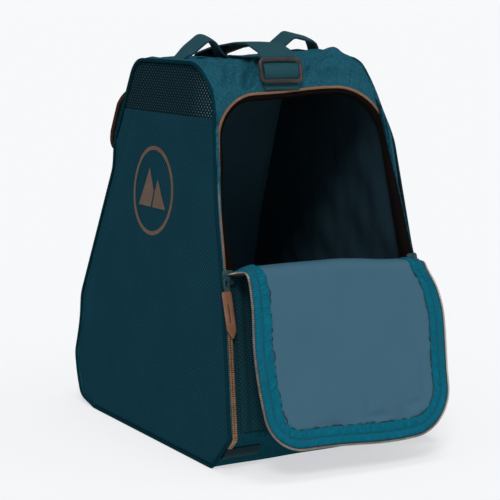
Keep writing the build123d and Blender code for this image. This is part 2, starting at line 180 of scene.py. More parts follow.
def edge_distance(y, z):
    """Distance from points in the side profile to its edge."""
    loop = np.vstack([OUTLINE, OUTLINE[:1]])
    a, b = loop[:-1], loop[1:]
    p = np.stack([y, z], -1)[..., None, :]
    ab = b - a
    t = np.clip(((p - a) * ab).sum(-1) / (ab * ab).sum(-1), 0, 1)
    return np.sqrt((((p - a) - t[..., None] * ab) ** 2).sum(-1)).min(-1)


SPAN_Z = np.linspace(0.0, TOP_Z, 120)
SPAN_REAR = np.array([profile_span(z)[1] for z in SPAN_Z])


def soft_half(y, z, side):
    """The bag's half width on one side: bellied at the left of the door, slumped at the right."""
    y, z, side = np.asarray(y, float), np.asarray(z, float), np.asarray(side, float)
    rear = np.interp(z, SPAN_Z, SPAN_REAR)
    depth = np.where(side > 0, 2.5, 7.0 * (1 - ease((z - 262.0) / 45.0)))
    drawn = depth * ease((y - (rear - 30.0)) / 30.0) ** 2 * ease((z - 20.0) / 80.0)
    slump = 3.0 * ease((z - 150.0) / 60.0) + 11.5 * ease((z - 300.0) / 60.0) * ease((70.0 - y) / 110.0) * (
        1 - 0.5 * ease((z - 362.0) / 26.0))
    belly = 2.6 * hump(z - 255.0, 48.0) * ease((-30.0 - y) / 60.0)
    return half_width(z) - drawn + np.where(side > 0, -slump, belly)


def across(share, y, z):
    """x at a share of the half width, from -1 at the left edge to 1 at the right one."""
    return share * soft_half(y, z, np.sign(share))


# ---------------------------------------------------------------- noise used for sag and wrinkles
def ripple(a, b, seed, scale):
    """Smooth pseudo-random waves of about the given size, from -1 to 1."""
    rng = np.random.RandomState(seed)
    total = np.zeros_like(np.asarray(a, float) + np.asarray(b, float))
    for _ in range(7):
        angle = rng.uniform(0, math.tau)
        size = scale * rng.uniform(0.6, 1.7)
        phase = rng.uniform(0, math.tau)
        wave = (a * math.cos(angle) + b * math.sin(angle)) / size
        total = total + np.sin(wave * math.tau + phase + 0.7 * np.sin(b / scale + phase))
    return total / 5.0


# ---------------------------------------------------------------- mesh helpers
def add_object(name, data):
    obj = bpy.data.objects.new(name, data)
    bpy.context.scene.collection.objects.link(obj)
    return obj


def new_object(name, verts, faces, uvs=None, material=None, sharp=None):
    mesh = bpy.data.meshes.new(name)
    mesh.from_pydata((np.asarray(verts, float) * MM).tolist(), [], [tuple(map(int, f)) for f in faces])
    if uvs is not None:
        layer = mesh.uv_layers.new(name="UVMap")
        index = np.zeros(len(mesh.loops), np.int64)
        mesh.loops.foreach_get("vertex_index", index)
        layer.data.foreach_set("uv", (np.asarray(uvs, float)[index] * MM).ravel())
    mesh.polygons.foreach_set("use_smooth", [True] * len(mesh.polygons))
    mesh.update()
    if sharp:
        mesh.set_sharp_from_angle(angle=math.radians(sharp))
    if material:
        mesh.materials.append(material)
    return add_object(name, mesh)


def grid_normals(P):
    du = np.gradient(P, axis=0)
    dv = np.gradient(P, axis=1)
    n = np.cross(du, dv)
    return n / np.maximum(np.linalg.norm(n, axis=-1, keepdims=True), 1e-9)


def quads(index):
    """The faces between the points of a grid of vertex numbers."""
    return np.stack([index[:-1, :-1], index[1:, :-1], index[1:, 1:], index[:-1, 1:]], -1).reshape(-1, 4)


# A point well inside the bag. A sheet's outer face looks away from it unless told otherwise
MIDDLE = np.array([0.0, 20.0, 190.0])


def sheet(name, P, uv, thickness, material, out=None):
    """A closed sheet: the grid P is its outer face, on the side that out points to."""
    n, m = P.shape[:2]
    out = P - MIDDLE if out is None else np.asarray(out, float)
    if (grid_normals(P) * out).sum(-1).mean() < 0:
        P, uv = P[:, ::-1], uv[:, ::-1]
    back = P - grid_normals(P) * thickness
    verts = np.vstack([P.reshape(-1, 3), back.reshape(-1, 3)])
    uvs = np.vstack([uv.reshape(-1, 2)] * 2)
    idx = np.arange(n * m).reshape(n, m)
    front = quads(idx)
    rear = front[:, ::-1] + n * m
    rim = np.concatenate([idx[:, 0], idx[-1, 1:], idx[-2::-1, -1], idx[0, -2:0:-1]])
    after = np.roll(rim, -1)
    sides = np.stack([after, rim, rim + n * m, after + n * m], -1)
    return new_object(name, verts, np.vstack([front, rear, sides]), uvs, material, sharp=55)


def attach(obj, body, slot, *nodes):
    """Ride a piece on a body, in the place of any CAD nodes named. The slot is not used."""
    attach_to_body(obj, body)
    if nodes:
        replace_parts(obj, *nodes)


def cut(obj, P, held, *rests_on):
    """Measure a sheet's cut size: the grid's rows and columns laid flat."""
    rows = np.linalg.norm(np.diff(P, axis=1), axis=2).sum(1) * MM
    columns = np.linalg.norm(np.diff(P, axis=0), axis=2).sum(0) * MM
    diagonals = P[1:, 1:] - P[:-1, :-1], P[:-1, 1:] - P[1:, :-1]
    area = float(np.linalg.norm(np.cross(*diagonals), axis=2).sum() / 2 * MM * MM)
    width, length = float(rows.max()), float(columns.max())
    if area < 0.35 * width * length:
        width = float(np.median(rows))


def stretched(name, P, uv, thickness, cloth, slot, nodes, rests_on):
    """A sheet of cloth that is sewn in flat on the bag, in the place of some CAD nodes."""
    made = sheet(name, P, uv, thickness, cloth)
    attach(made, "bag", slot, *nodes)
    cut(made, P, "stretched", *rests_on)


def grid_uv(P):
    """Real lengths along the middle row and column, so a weave keeps its size."""
    n, m = P.shape[:2]
    return np.stack(np.meshgrid(lengths_along(P[:, m // 2]), lengths_along(P[n // 2]), indexing="ij"), -1)


def tube(name, points, radius, material, closed=False, sides=8, flat=1.0, up=(0, 0, 1)):
    """A round or flattened tube along points."""
    P = np.asarray(points, float)
    n = len(P)
    T = np.roll(P, -1, 0) - np.roll(P, 1, 0) if closed else np.gradient(P, axis=0)
    T /= np.maximum(np.linalg.norm(T, axis=1, keepdims=True), 1e-9)
    up = np.broadcast_to(np.asarray(up, float), P.shape)
    A = np.cross(T, up)
    A /= np.maximum(np.linalg.norm(A, axis=1, keepdims=True), 1e-9)
    B = np.cross(A, T)
    angles = np.linspace(0, math.tau, sides, endpoint=False)
    ring = A[:, None] * np.cos(angles)[None, :, None] + B[:, None] * (flat * np.sin(angles))[None, :, None]
    verts = (P[:, None] + ring * radius).reshape(-1, 3)
    idx = np.arange(n * sides).reshape(n, sides)
    nxt = np.roll(idx, -1, 0) if closed else idx[1:]
    cur = idx if closed else idx[:-1]
    around = np.stack([cur, np.roll(cur, -1, 1), np.roll(nxt, -1, 1), nxt], -1).reshape(-1, 4)
    faces = [tuple(f) for f in around]
    if not closed:
        faces += [tuple(idx[0][::-1]), tuple(idx[-1])]
    uvs = np.stack([np.repeat(lengths_along(P), sides), np.tile(angles * radius, n)], 1)
    return new_object(name, verts, faces, uvs, material, sharp=60)


def bead_row(name, centres, along, across, out, size, material):
    """Many small rounded blocks in one mesh: zip teeth or stitches. size is (along, across, out)."""
    lengthwise = ((-0.5, 0.62), (-0.3, 1.0), (0.3, 1.0), (0.5, 0.62))
    section = ((-0.5, -0.32), (-0.5, 0.32), (-0.3, 0.5), (0.3, 0.5), (0.5, 0.32), (0.5, -0.32))
    block = np.array([(a, b * scale, c * scale) for a, scale in lengthwise for b, c in section]) * size
    k = len(section)
    faces = [(r * k + i, r * k + (i + 1) % k, (r + 1) * k + (i + 1) % k, (r + 1) * k + i)
             for r in range(3) for i in range(k)]
    faces += [tuple(range(k))[::-1], tuple(range(3 * k, 4 * k))]
    verts, all_faces, uvs = [], [], []
    for i, c in enumerate(centres):
        local = block[:, :1] * along[i] + block[:, 1:2] * across[i] + block[:, 2:] * out[i]
        verts.append(c + local)
        all_faces += [tuple(v + i * len(block) for v in f) for f in faces]
        uvs.append(np.stack([block[:, 0] + i * size[0], block[:, 1]], 1))
    return new_object(name, np.vstack(verts), all_faces, np.vstack(uvs), material, sharp=50)


# ---------------------------------------------------------------- materials
class Graph:
    """A material's or world's nodes. An input takes a number, a colour or another node's output."""

    def __init__(self, owner, shader="Principled BSDF"):
        owner.use_nodes = True
        self.owner, self.tree = owner, owner.node_tree
        self.shader = self.tree.nodes[shader]

    def put(self, made, inputs):
        for key, value in inputs.items():
            socket = made.inputs[key]
            if isinstance(value, bpy.types.NodeSocket):
                self.tree.links.new(value, socket)
            elif socket.type == "RGBA":
                socket.default_value = (*value, 1.0)
            else:
                socket.default_value = value

    def node(self, kind, inputs=None, **settings):
        made = self.tree.nodes.new(kind)
        for key, value in settings.items():
            setattr(made, key, value)
        self.put(made, inputs or {})
        return made.outputs

    def math(self, operation, *values):
        return self.node("ShaderNodeMath", dict(enumerate(values)), operation=operation)[0]

    def times(self, a, b):
        return self.math("MULTIPLY", a, b)

    def axes(self):
        """The UV map's two lengths in metres, and the map itself."""
        uv = self.node("ShaderNodeUVMap", uv_map="UVMap")[0]
        split = self.node("ShaderNodeSeparateXYZ", {0: uv})
        return split[0], split[1], uv

    def stripes(self, axis, period):
        """A soft 0 to 1 stripe of the given period in millimetres."""
        phase = self.times(axis, math.tau / (period * MM))
        return self.math("MULTIPLY_ADD", self.math("SINE", phase), 0.5, 0.5)

    def lattice(self, u, v, across, down):
        """Soft dots in staggered rows, with the given spacing in millimetres."""
        slope = self.times(v, across / down)
        return self.times(self.stripes(self.math("ADD", u, slope), across),
                          self.stripes(self.math("SUBTRACT", u, slope), across))

    def noise(self, vector, scale, detail=3.0, rough=0.55):
        return self.node("ShaderNodeTexNoise", {"Vector": vector, "Scale": scale, "Detail": detail,
                                                "Roughness": rough})["Fac"]

    def mix(self, fac, a, b, blend="MIX"):
        return self.node("ShaderNodeMix", {0: fac, 6: a, 7: b}, data_type="RGBA", blend_type=blend)[2]

    def ramp(self, value, low, high, to=(0.0, 1.0)):
        return self.node("ShaderNodeMapRange", {"Value": value, "From Min": low, "From Max": high,
                                                "To Min": to[0], "To Max": to[1]})["Result"]

    def finish(self, colour, rough, gloss, height, depth, strength=1.0, metallic=0.0, coat=0.0):
        """Wire up the shader, with a bump of some depth in millimetres, and hand over the material."""
        bump = self.node("ShaderNodeBump", {"Height": height, "Distance": depth * MM, "Strength": strength})
        self.put(self.shader, {"Base Color": colour, "Roughness": rough, "Specular IOR Level": gloss,
                               "Metallic": metallic, "Coat Weight": coat, "Normal": bump[0]})
        return self.owner


def material_graph(name):
    return Graph(bpy.data.materials.new(name))


def tinted(colour, factor):
    return tuple(channel * factor for channel in colour)


def woven(name, light, dark, cell, rough, depth, heather=0.0, dots=None, blotch=0.12):
    """Woven cloth: crossed threads, optional staggered dots and heather flecks, in real sizes."""
    g = material_graph(name)
    u, v, vector = g.axes()
    warp, weft = g.stripes(u, cell[0]), g.stripes(v, cell[1])
    gaps = g.times(g.math("SUBTRACT", 1.0, warp), g.math("SUBTRACT", 1.0, weft))
    height = g.math("MAXIMUM", g.times(warp, weft), gaps)
    if dots:
        height = g.math("ADD", g.times(height, 0.25), g.times(g.lattice(u, v, *dots), 0.85))
    colour = g.mix(g.ramp(height, 0.0, 1.0), dark, light)
    if heather:
        stretched = g.node("ShaderNodeMapping", {"Vector": vector, "Scale": (1.0, 0.22, 1.0)})[0]
        flecks = g.ramp(g.noise(stretched, 900.0, 2.0), 0.38, 0.66)
        colour = g.mix(g.times(flecks, 0.65), colour, tinted(light, 1.0 + heather))
    stains = g.ramp(g.noise(vector, 14.0, 4.0), 0.3, 0.75)
    shade = g.mix(stains, (1 - blotch,) * 3, (1 + blotch * 0.6,) * 3)
    return g.finish(g.mix(1.0, colour, shade, "MULTIPLY"), rough, 0.0, height, depth)


def coated(name, colour, rough, wrinkle, gloss, painted_shade_heights=None):
    """Smooth coated lining: fine grain, soft creases and a low gloss. Its last argument gives the heights,
    in z, over which painted shade darkens it towards the top.
    """
    g = material_graph(name)
    u, v, vector = g.axes()
    grain = g.times(g.stripes(u, 0.6), g.stripes(v, 0.6))
    soft = g.noise(vector, 22.0, 5.0, 0.6)
    crease = g.ramp(g.noise(vector, 60.0, 2.0), 0.42, 0.6)
    height = g.math("ADD", g.times(soft, wrinkle),
                    g.math("ADD", g.times(grain, 0.06), g.times(crease, 0.08 * wrinkle)))
    tone = g.mix(soft, tinted(colour, 0.9), tinted(colour, 1.07))
    # Painted shade: higher up the colour is mixed down to 0.3 of itself, standing in for the shade under
    # the bag's top.
    if painted_shade_heights:
        z = g.node("ShaderNodeSeparateXYZ", {0: g.node("ShaderNodeTexCoord")["Object"]})[2]
        tone = g.mix(g.ramp(z, *painted_shade_heights), tone, tinted(colour, 0.3))
    return g.finish(tone, g.ramp(soft, 0.0, 1.0, (rough - 0.06, rough + 0.08)), gloss, height, 1.2, 0.5)


def ribbed_webbing(name, light, dark):
    """Narrow webbing: ribs across it and fine warp threads along it."""
    g = material_graph(name)
    u, v, vector = g.axes()
    height = g.math("ADD", g.times(g.stripes(u, 1.5), 0.6), g.times(g.stripes(v, 1.1), 0.35))
    tone = g.math("ADD", g.times(height, 0.7), g.times(g.noise(vector, 260.0, 2.0), 0.4))
    return g.finish(g.mix(g.ramp(tone, 0.1, 1.1), dark, light), 0.62, 0.04, height, 0.22)


def spacer_mesh(name, thread, hole):
    """Open mesh over a dark backing, whose threads show more towards the front."""
    g = material_graph(name)
    u, v, _ = g.axes()
    knots = g.lattice(u, v, 5.6, 5.4)
    strength = g.math("MULTIPLY_ADD", g.ramp(u, -0.05, -0.105), 0.8, 0.2)
    tone = g.times(g.ramp(knots, 0.35, 0.8), strength)
    return g.finish(g.mix(tone, hole, thread), 0.7, 0.0, knots, 0.4)


def plain(name, colour, rough, metallic=0.0, grain=900.0, depth=0.05, wear=None, coat=0.0):
    """Plastic, metal, leather or print: fine grain, and a second tone where it is worn."""
    g = material_graph(name)
    position = g.node("ShaderNodeTexCoord")["Object"]
    broad = g.noise(position, 90.0)
    worn = wear or tuple(channel * 1.35 + 0.01 for channel in colour)
    return g.finish(g.mix(g.ramp(broad, 0.45, 0.75), colour, worn),
                    g.ramp(broad, 0.0, 1.0, (rough - 0.06, rough + 0.1)), 0.3,
                    g.noise(position, grain, 4.0), depth, metallic=metallic, coat=coat)


SIDE = woven("side_fabric", (0.0130, 0.067, 0.097), (0.0050, 0.030, 0.044), (1.6, 1.6), 0.75, 0.5,
             dots=(4.4, 4.8), blotch=0.10)
GUSSET = woven("gusset_fabric", (0.015, 0.086, 0.124), (0.006, 0.042, 0.062), (1.0, 1.0), 0.8, 0.18,
               heather=0.6, blotch=0.10)
DOOR = woven("door_fabric", (0.013, 0.056, 0.072), (0.005, 0.024, 0.032), (1.6, 1.6), 0.75, 0.45,
             dots=(4.0, 4.4), blotch=0.10)
# Painted shade: the toe is the gusset cloth, given a darker colour where it faces down to the floor.
TOE_CLOTH_SHADED = woven("toe_fabric_painted_shade", (0.006, 0.052, 0.072), (0.002, 0.024, 0.036), (1.0, 1.0), 0.8, 0.2, 0.3)
BASE = woven("base_fabric", (0.010, 0.034, 0.044), (0.005, 0.018, 0.024), (1.4, 1.4), 0.7, 0.25)
PIPING = woven("piping_fabric", (0.005, 0.036, 0.050), (0.002, 0.017, 0.024), (0.9, 0.9), 0.7, 0.12)
BINDING = woven("binding_tape", (0.006, 0.130, 0.195), (0.002, 0.066, 0.100), (1.1, 0.8), 0.7, 0.18,
                heather=0.25, blotch=0.10)
GUARD = woven("guard_tape", (0.011, 0.008, 0.0075), (0.004, 0.0032, 0.003), (1.0, 0.8), 0.6, 0.15)
COPPER_BINDING = woven("copper_binding", (0.070, 0.036, 0.021), (0.034, 0.018, 0.011), (1.0, 0.8),
                       0.7, 0.15)
# The side linings get painted shade towards the top, between the last pair of heights (in metres).
LINING = coated("lining_fabric", (0.056, 0.142, 0.190), 0.38, 0.7, 0.3, (0.20, 0.38))
# Painted shade: the right wall's lining is the same cloth as the left, given a darker colour.
LINING_RIGHT_SHADED = coated("lining_fabric_right_painted_shade", (0.026, 0.060, 0.082), 0.38, 0.7, 0.25, (0.16, 0.34))
# Painted shade: the lining under the top is the same cloth, made much darker.
LINING_TOP_SHADED = coated("lining_fabric_top_painted_shade", (0.006, 0.012, 0.018), 0.45, 0.7, 0.1)
FLAP_LINING = coated("flap_lining", (0.046, 0.114, 0.164), 0.5, 0.25, 0.06)
WEBBING = ribbed_webbing("webbing", (0.024, 0.086, 0.106), (0.009, 0.042, 0.055))
MESH = spacer_mesh("mesh_fabric", (0.14, 0.21, 0.24), (0.0035, 0.0155, 0.021))
COPPER_TEETH = plain("copper_teeth", (0.30, 0.155, 0.088), 0.38, 0.15, wear=(0.42, 0.25, 0.16), coat=0.1)
PALE_TEETH = plain("pale_teeth", (0.20, 0.17, 0.15), 0.4, 0.1, wear=(0.34, 0.31, 0.28), coat=0.1)
SLIDER = plain("slider_paint", (0.035, 0.085, 0.095), 0.38, 0.5, wear=(0.09, 0.14, 0.15))
LEATHER = plain("leather", (0.19, 0.082, 0.040), 0.55, 0.0, 1500.0, 0.12, wear=(0.25, 0.12, 0.066))
LEATHER_DARK = plain("leather_dark", (0.045, 0.036, 0.030), 0.6)
BUCKLE = plain("buckle_metal", (0.026, 0.021, 0.019), 0.36, 0.3, wear=(0.075, 0.050, 0.038), coat=0.15)
PRINT = plain("copper_print", (0.092, 0.050, 0.026), 0.5, 0.2, 700.0, 0.05, wear=(0.115, 0.075, 0.045))
# A dark seam thread, which also stands in for the painted shade in the gap along the flap binding's inner
# edge.
SEAM_THREAD_AND_SHADE = plain("thread", (0.005, 0.032, 0.044), 0.6)
COPPER_TAPE = woven("copper_tape", (0.11, 0.055, 0.032), (0.05, 0.026, 0.016), (0.9, 0.8), 0.7, 0.12)
WEBBING_DARK = ribbed_webbing("webbing_dark", (0.004, 0.026, 0.034), (0.0015, 0.011, 0.015))
THREAD_TEAL = plain("thread_teal", (0.003, 0.060, 0.090), 0.6)
BOARD = plain("board", (0.02, 0.02, 0.022), 0.6)


# ---------------------------------------------------------------- side panels, mesh and piping
def panel_bulge(y, z, inside, side):
    """How far a side panel stands out from its edges, inside being the distance to them."""
    return 3.2 * ease(inside / 110.0) + 1.1 * ripple(y, z, 3 + side, 170.0) * ease(inside / 60.0)


def side_grid(side, z_low, z_high, rows, columns):
    """A grid over part of a side panel's outer face, denser where the profile turns."""
    t = np.linspace(0, 1, rows)
    z = z_low + (z_high - z_low) * t
    if z_low < 1.0:
        z = z_high * (0.55 * t + 0.45 * t * t)
    if z_high > TOP_Z - 1.0:
        z = z_low + (z_high - z_low) * np.sin(t * math.pi / 2)
    spans = np.array([profile_span(value) for value in z])
    k = 0.5 - 0.5 * np.cos(np.linspace(0, math.pi, columns))
    k = 0.5 * k + 0.5 * np.linspace(0, 1, columns)
    y = spans[:, :1] + (spans[:, 1:] - spans[:, :1]) * k[None]
    z = np.repeat(z[:, None], columns, 1)
    inside = edge_distance(y, z)
    tuck = 2.0 * (1 - ease(inside / 5.0))
    pucker = 0.35 * np.sin(z / 5.2) * np.exp(-inside / 9.0) * (inside > 0.5)
    x = soft_half(y, z, side) + panel_bulge(y, z, inside, side) - tuck + pucker
    crease = np.interp(z, SPAN_Z, SPAN_REAR) - y - 30.0
    x += 1.3 * hump(crease, 7.0) * ease((z - 60.0) / 80.0)
    return np.stack([side * x, y, z], -1)


def side_wall(side, name):
    """A side's woven panel, with the mesh vent above it."""
    P = side_grid(side, 0.0, MESH_Z, 120, 110)
    stretched(f"side_panel_{name}_cloth", P, P[..., 1:], 3.0, SIDE, "side_fabric",
              [f"side_panel_{name}"], [f"side_foam_{name}"])
    P = side_grid(side, MESH_Z, TOP_Z, 34, 90)
    P[..., 0] -= side * 0.8
    stretched(f"mesh_panel_{name}_cloth", P, P[..., 1:], 1.6, MESH, "mesh_fabric",
              [f"mesh_panel_{name}"], [f"piping_{name}"])


def piping(side, name):
    """The cord sewn round a side panel, a little inside the outline."""
    loop = resample(np.vstack([OUTLINE, OUTLINE[:1]]), 2.5)[:-1]
    along = unit(np.roll(loop, -1, 0) - np.roll(loop, 1, 0))
    loop = loop - turned(along) * 0.6
    x = soft_half(loop[:, 0], loop[:, 1], side) + 0.3
    points = np.stack([side * x, loop[:, 0], np.maximum(loop[:, 1], 1.9)], 1)
    cord = tube(f"piping_{name}_cord", points, 1.9, PIPING, closed=True, sides=10, up=(1, 0, 0))
    attach(cord, "bag", "piping_fabric", f"piping_{name}")


def side_foam(side, name):
    """The thin foam between panel and lining."""
    low, high = cad(f"side_foam_{name}")
    P = side_grid(side, low[2], high[2], 60, 50)
    P[..., 0] -= side * 3.3
    fronts = np.array([profile_span(z) for z in P[:, 0, 2]])
    P[..., 1] = np.clip(P[..., 1], fronts[:, :1] + 6.0, fronts[:, 1:] - 6.0)
    foam = sheet(f"side_foam_{name}_sheet", P, P[..., 1:], 1.6, BOARD)
    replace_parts(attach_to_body(foam, "bag"), f"side_foam_{name}")


for SIDE_SIGN, SIDE_NAME in SIDES:
    side_wall(SIDE_SIGN, SIDE_NAME)
    side_foam(SIDE_SIGN, SIDE_NAME)
    piping(SIDE_SIGN, SIDE_NAME)


# ---------------------------------------------------------------- the front face and the zip's line
FRONT_A = np.array(PROFILE[TOE][:2])
FRONT_B = np.array(PROFILE[BROW][:2])
FRONT_RISE = np.linalg.norm(FRONT_B - FRONT_A)
FRONT_SIN, FRONT_COS = (FRONT_B - FRONT_A) / FRONT_RISE
ZIP_INSET = 5.0
ZIP_TOP = FRONT_RISE - 5.0
ZIP_CORNER = 45.0
DOOR_LOW = 6.5
FOLD_PIVOT = np.array(JOINTS["door_flap_fold"]["pos_m"]) / MM
FOLD_ANGLE = math.radians(JOINTS["door_flap_fold"]["range_deg"][1])


def on_front(u, v, n):
    """A point u across, v up the front face and n out of it."""
    u, v, n = np.broadcast_arrays(np.asarray(u, float), np.asarray(v, float), np.asarray(n, float))
    y = FRONT_A[0] + v * FRONT_SIN - n * FRONT_COS
    z = FRONT_A[1] + v * FRONT_COS + n * FRONT_SIN
    return np.stack([u, y, z], -1)


def front_coordinates(point):
    """A point's height v up the front face and distance n out of it."""
    d = np.array([point[1], point[2]]) - FRONT_A
    return d @ (FRONT_SIN, FRONT_COS), d @ (-FRONT_COS, FRONT_SIN)


FOLD_V, FOLD_N = front_coordinates(FOLD_PIVOT)
FRONT_OUT = np.array([0.0, -FRONT_COS, FRONT_SIN])


def zip_half(v, side):
    """Distance from the bag's middle to the zip's line on one side."""
    v = np.asarray(v, float)
    return soft_half(FRONT_A[0] + v * FRONT_SIN, FRONT_A[1] + v * FRONT_COS, side) - ZIP_INSET


def corner_line(half_at, low, top, radius, steps=90):
    """An outline from low up one side, round the corner and to the middle, as (distance out, height)."""
    shoulder = top - radius
    points = [(float(half_at(v)), v) for v in np.linspace(low, shoulder, steps)]
    half = float(half_at(shoulder))
    lean = 0.45 * (half - float(half_at(top)))
    for angle in np.linspace(0, math.pi / 2, 30)[1:]:
        u = half - radius + radius * math.cos(angle) - lean * math.sin(angle)
        points.append((u, shoulder + radius * math.sin(angle)))
    return np.array(points)


def zip_outline(low, offset):
    """The zip's line from its left side over the top to its right side, moved inwards by offset."""
    sides = [corner_line(lambda v: zip_half(v, side) - offset, low, ZIP_TOP - offset, ZIP_CORNER - offset)
             for side in (-1, 1)]
    line = np.vstack([sides[0] * (-1, 1), sides[1][::-1]])
    return resample(line, 2.0)


def crest(u, v):
    """The door's top edge bows up towards its right."""
    return 5.0 * ease((v - 250.0) / 80.0) * hump(u - 34.0, 52.0)


def zip_ring(low, offsets, depth, count=260):
    """A band along the zip's line, as a grid of points on the front face. depth may vary by offset."""
    rows = []
    for offset, n in zip(offsets, depth):
        line = zip_outline(low, offset)
        line = resample(line, lengths_along(line)[-1] / count)
        rows.append(np.stack([line[:count, 0], line[:count, 1], np.full(count, n)], -1))
    return np.stack(rows, 1)


def placed(grid):
    """(u, v, n) on the front face, which turns back at the brow and at the toe."""
    u, v, n = grid[..., 0], grid[..., 1] + crest(grid[..., 0], grid[..., 1]), grid[..., 2]
    turned = np.maximum(v - (FRONT_RISE - BROW_REACH), 0.0)
    face = on_front(u, v, n - turned ** 2 / (2 * BROW_RADIUS))
    down = np.minimum(v, 0.0)
    toe = np.stack([u, FRONT_A[0] - TOE_BACK * down - TOE_DOWN * n,
                    FRONT_A[1] + TOE_DOWN * down - TOE_BACK * n], -1)
    return np.where((v < 0)[..., None], toe, face)


def ring_uv(grid):
    """Lengths along a band and across it."""
    along = lengths_along(grid[:, 0, :2])
    across = np.linspace(0, 1, grid.shape[1]) * np.linalg.norm(grid[0, -1] - grid[0, 0])
    return np.stack(np.meshgrid(along, across, indexing="ij"), -1)


# ---------------------------------------------------------------- top, brow and front corners
def edge_columns(lines, half_at, top, count, lead=()):
    """Columns from side to side, each as (signed share of the half width, height it ends at)."""
    halves = []
    for (side, _), line in zip(SIDES, lines):
        column = [*lead] + [(u / half_at(v, side), v) for u, v in line]
        column += [(share, top) for share in np.linspace(column[-1][0], 0, count)[1:]]
        halves.append([(side * share, v) for share, v in column])
    return halves[0] + halves[1][-2::-1]


def top_columns():
    """The top panel's columns, which start from the bag's edge beside the door."""
    edge = 3.2
    top = ZIP_TOP + edge
    lines = [corner_line(lambda v: zip_half(v, side) + edge, DOOR_LOW, top, ZIP_CORNER + edge, 2)[2:]
             for side, _ in SIDES]
    lead = [(share, DOOR_LOW) for share in np.linspace(1.0, 0.985, 4)]
    return edge_columns(lines, lambda v, side: float(zip_half(v, side)) + ZIP_INSET, top, 26, lead)


TOP_SINK = 10.0

# Folds in the top cloth: middle across and behind the brow, half width and length, lean, depth
TOP_FOLDS = ((-50.0, 20.0, 6.5, 27.0, 0.6, 11.0), (-72.0, 24.0, 6.0, 26.0, 0.5, 6.5),
             (-34.0, 58.0, 6.0, 14.0, 0.7, 5.0), (17.0, 34.0, 8.0, 18.0, 0.45, 8.0),
             (38.0, 46.0, 20.0, 5.5, -0.3, 7.0), (48.0, 24.0, 20.0, 5.0, -0.25, 5.0),
             (74.0, 18.0, 14.0, 5.0, 0.2, 3.0), (-86.0, 60.0, 6.0, 22.0, 0.4, 3.0))


def top_sag(x, s):
    """How far the unsupported top cloth sinks, folds or stands up, s along it from the brow."""
    w = np.clip(1 - (x / 92.0) ** 2, 0, 1)
    sag = -1.6 * w * ease(s / 30.0) * ease((190.0 - s) / 40.0)
    sag = sag + 7.0 * hump(x - 62.0, 34.0, s - 125.0, 50.0) + 7.5 * hump(x - 66.0, 20.0, s - 60.0, 32.0)
    for cx, cs, rx, rs, lean, depth in TOP_FOLDS:
        a, b = x - cx - lean * (s - cs), s - cs + lean * (x - cx)
        sag = sag - 1.1 * depth * hump(a, rx, b, rs) + 0.6 * depth * hump(a - rx * 1.3, rx * 0.8, b, rs)
    sag = np.where(sag < 0, TOP_SINK * np.tanh(sag / TOP_SINK), sag)
    return sag + (1.5 * ripple(x, s, 11, 44.0) + 0.8 * ripple(x, s, 12, 19.0)) * ease(s / 14.0)


def gusset_top():
    """One cloth from the door's zip up over the brow and the top to the rear seam."""
    foot = FRONT_A + (FRONT_SIN * DOOR_LOW, FRONT_COS * DOOR_LOW)
    path = rounded_path([(*foot, 0), PROFILE[BROW], PROFILE[CROWN], PROFILE[REAR_TOP], REAR_SEAM],
                        arc_steps=12)
    path = resample(path, 2.0)
    s = lengths_along(path)
    tangent = tangents(path)
    brow = FRONT_RISE - DOOR_LOW
    join = brow + 9.0
    columns, lengths = [], []
    for share, v_end in top_columns():
        start = v_end - DOOR_LOW + crest(share * 95.0, v_end)
        at = np.r_[start + (join - start) * np.linspace(0, 1, 60), s[s > join + 1.0]]
        y, z = np.interp(at, s, path[:, 0]), np.interp(at, s, path[:, 1])
        ahead, up = np.interp(at, s, tangent[:, 0]), np.interp(at, s, tangent[:, 1])
        x = across(share, y, z)
        past = at - brow
        off = top_sag(x, past) * ease(past / 9.0) + 1.6 * (1 - abs(share) ** 4) * ease(past / 20.0)
        hem = np.sin(np.clip((at - start) / 14.0, 0, 1) * math.pi / 2)
        off = off * ease((1 - abs(share)) / 0.10) + 0.9 * hem
        columns.append(np.stack([x, y - up * off, z + ahead * off], 1))
        lengths.append(at)
    P = np.stack(columns, 1)
    uv = np.stack([P[..., 0], np.stack(lengths, 1)], -1)
    stretched("top_panel_cloth", P, uv, 2.2, GUSSET, "gusset_fabric",
              ["top_panel", "front_seam_left", "front_seam_right"], PIPINGS)


gusset_top()


def crowded(count):
    """Numbers from -1 to 1 that crowd towards both ends."""
    return np.sin(np.linspace(-math.pi / 2, math.pi / 2, count))


def band_path(corners, step, inset=0.0):
    """A stretch of the side profile moved by inset, with its tangents and the length along it."""
    path = resample(rounded_path(corners, arc_steps=10), step)
    tangent = tangents(path)
    path = path - turned(tangent) * inset
    return path, tangent, lengths_along(path)


def band_grid(path, tangent, x, off):
    """Points x across a path round the bag, moved outwards by off."""
    normal = turned(tangent)
    return np.stack([x, path[:, :1] + normal[:, :1] * off, path[:, 1:] + normal[:, 1:] * off], -1)


def gusset_band(name, corners, puff, cloth, slot_name, nodes, seed, seam=2.0):
    """A stretch of the band round the bag, with its seams tucked in at both ends."""
    path, tangent, s = band_path(corners, 4.0)
    share = crowded(61)
    x = across(share[None], path[:, :1], path[:, 1:])
    S = np.repeat(s[:, None], 61, 1)
    ends = ease(S / 6.0) * ease((s[-1] - S) / 6.0)
    off = puff * (1 - np.abs(share[None]) ** 3) * ease(S / 50.0) * ease((s[-1] - S) / 50.0)
    off = off - seam * (1 - ends) + abs(puff) * 0.3 * ripple(x, S, seed, 70.0) * (1 - share[None] ** 6)
    P = band_grid(path, tangent, x, off)
    P[..., 2] = np.maximum(P[..., 2], 0.0)
    stretched(name, P, np.stack([x, S], -1), 2.4, cloth, slot_name, nodes, PIPINGS)


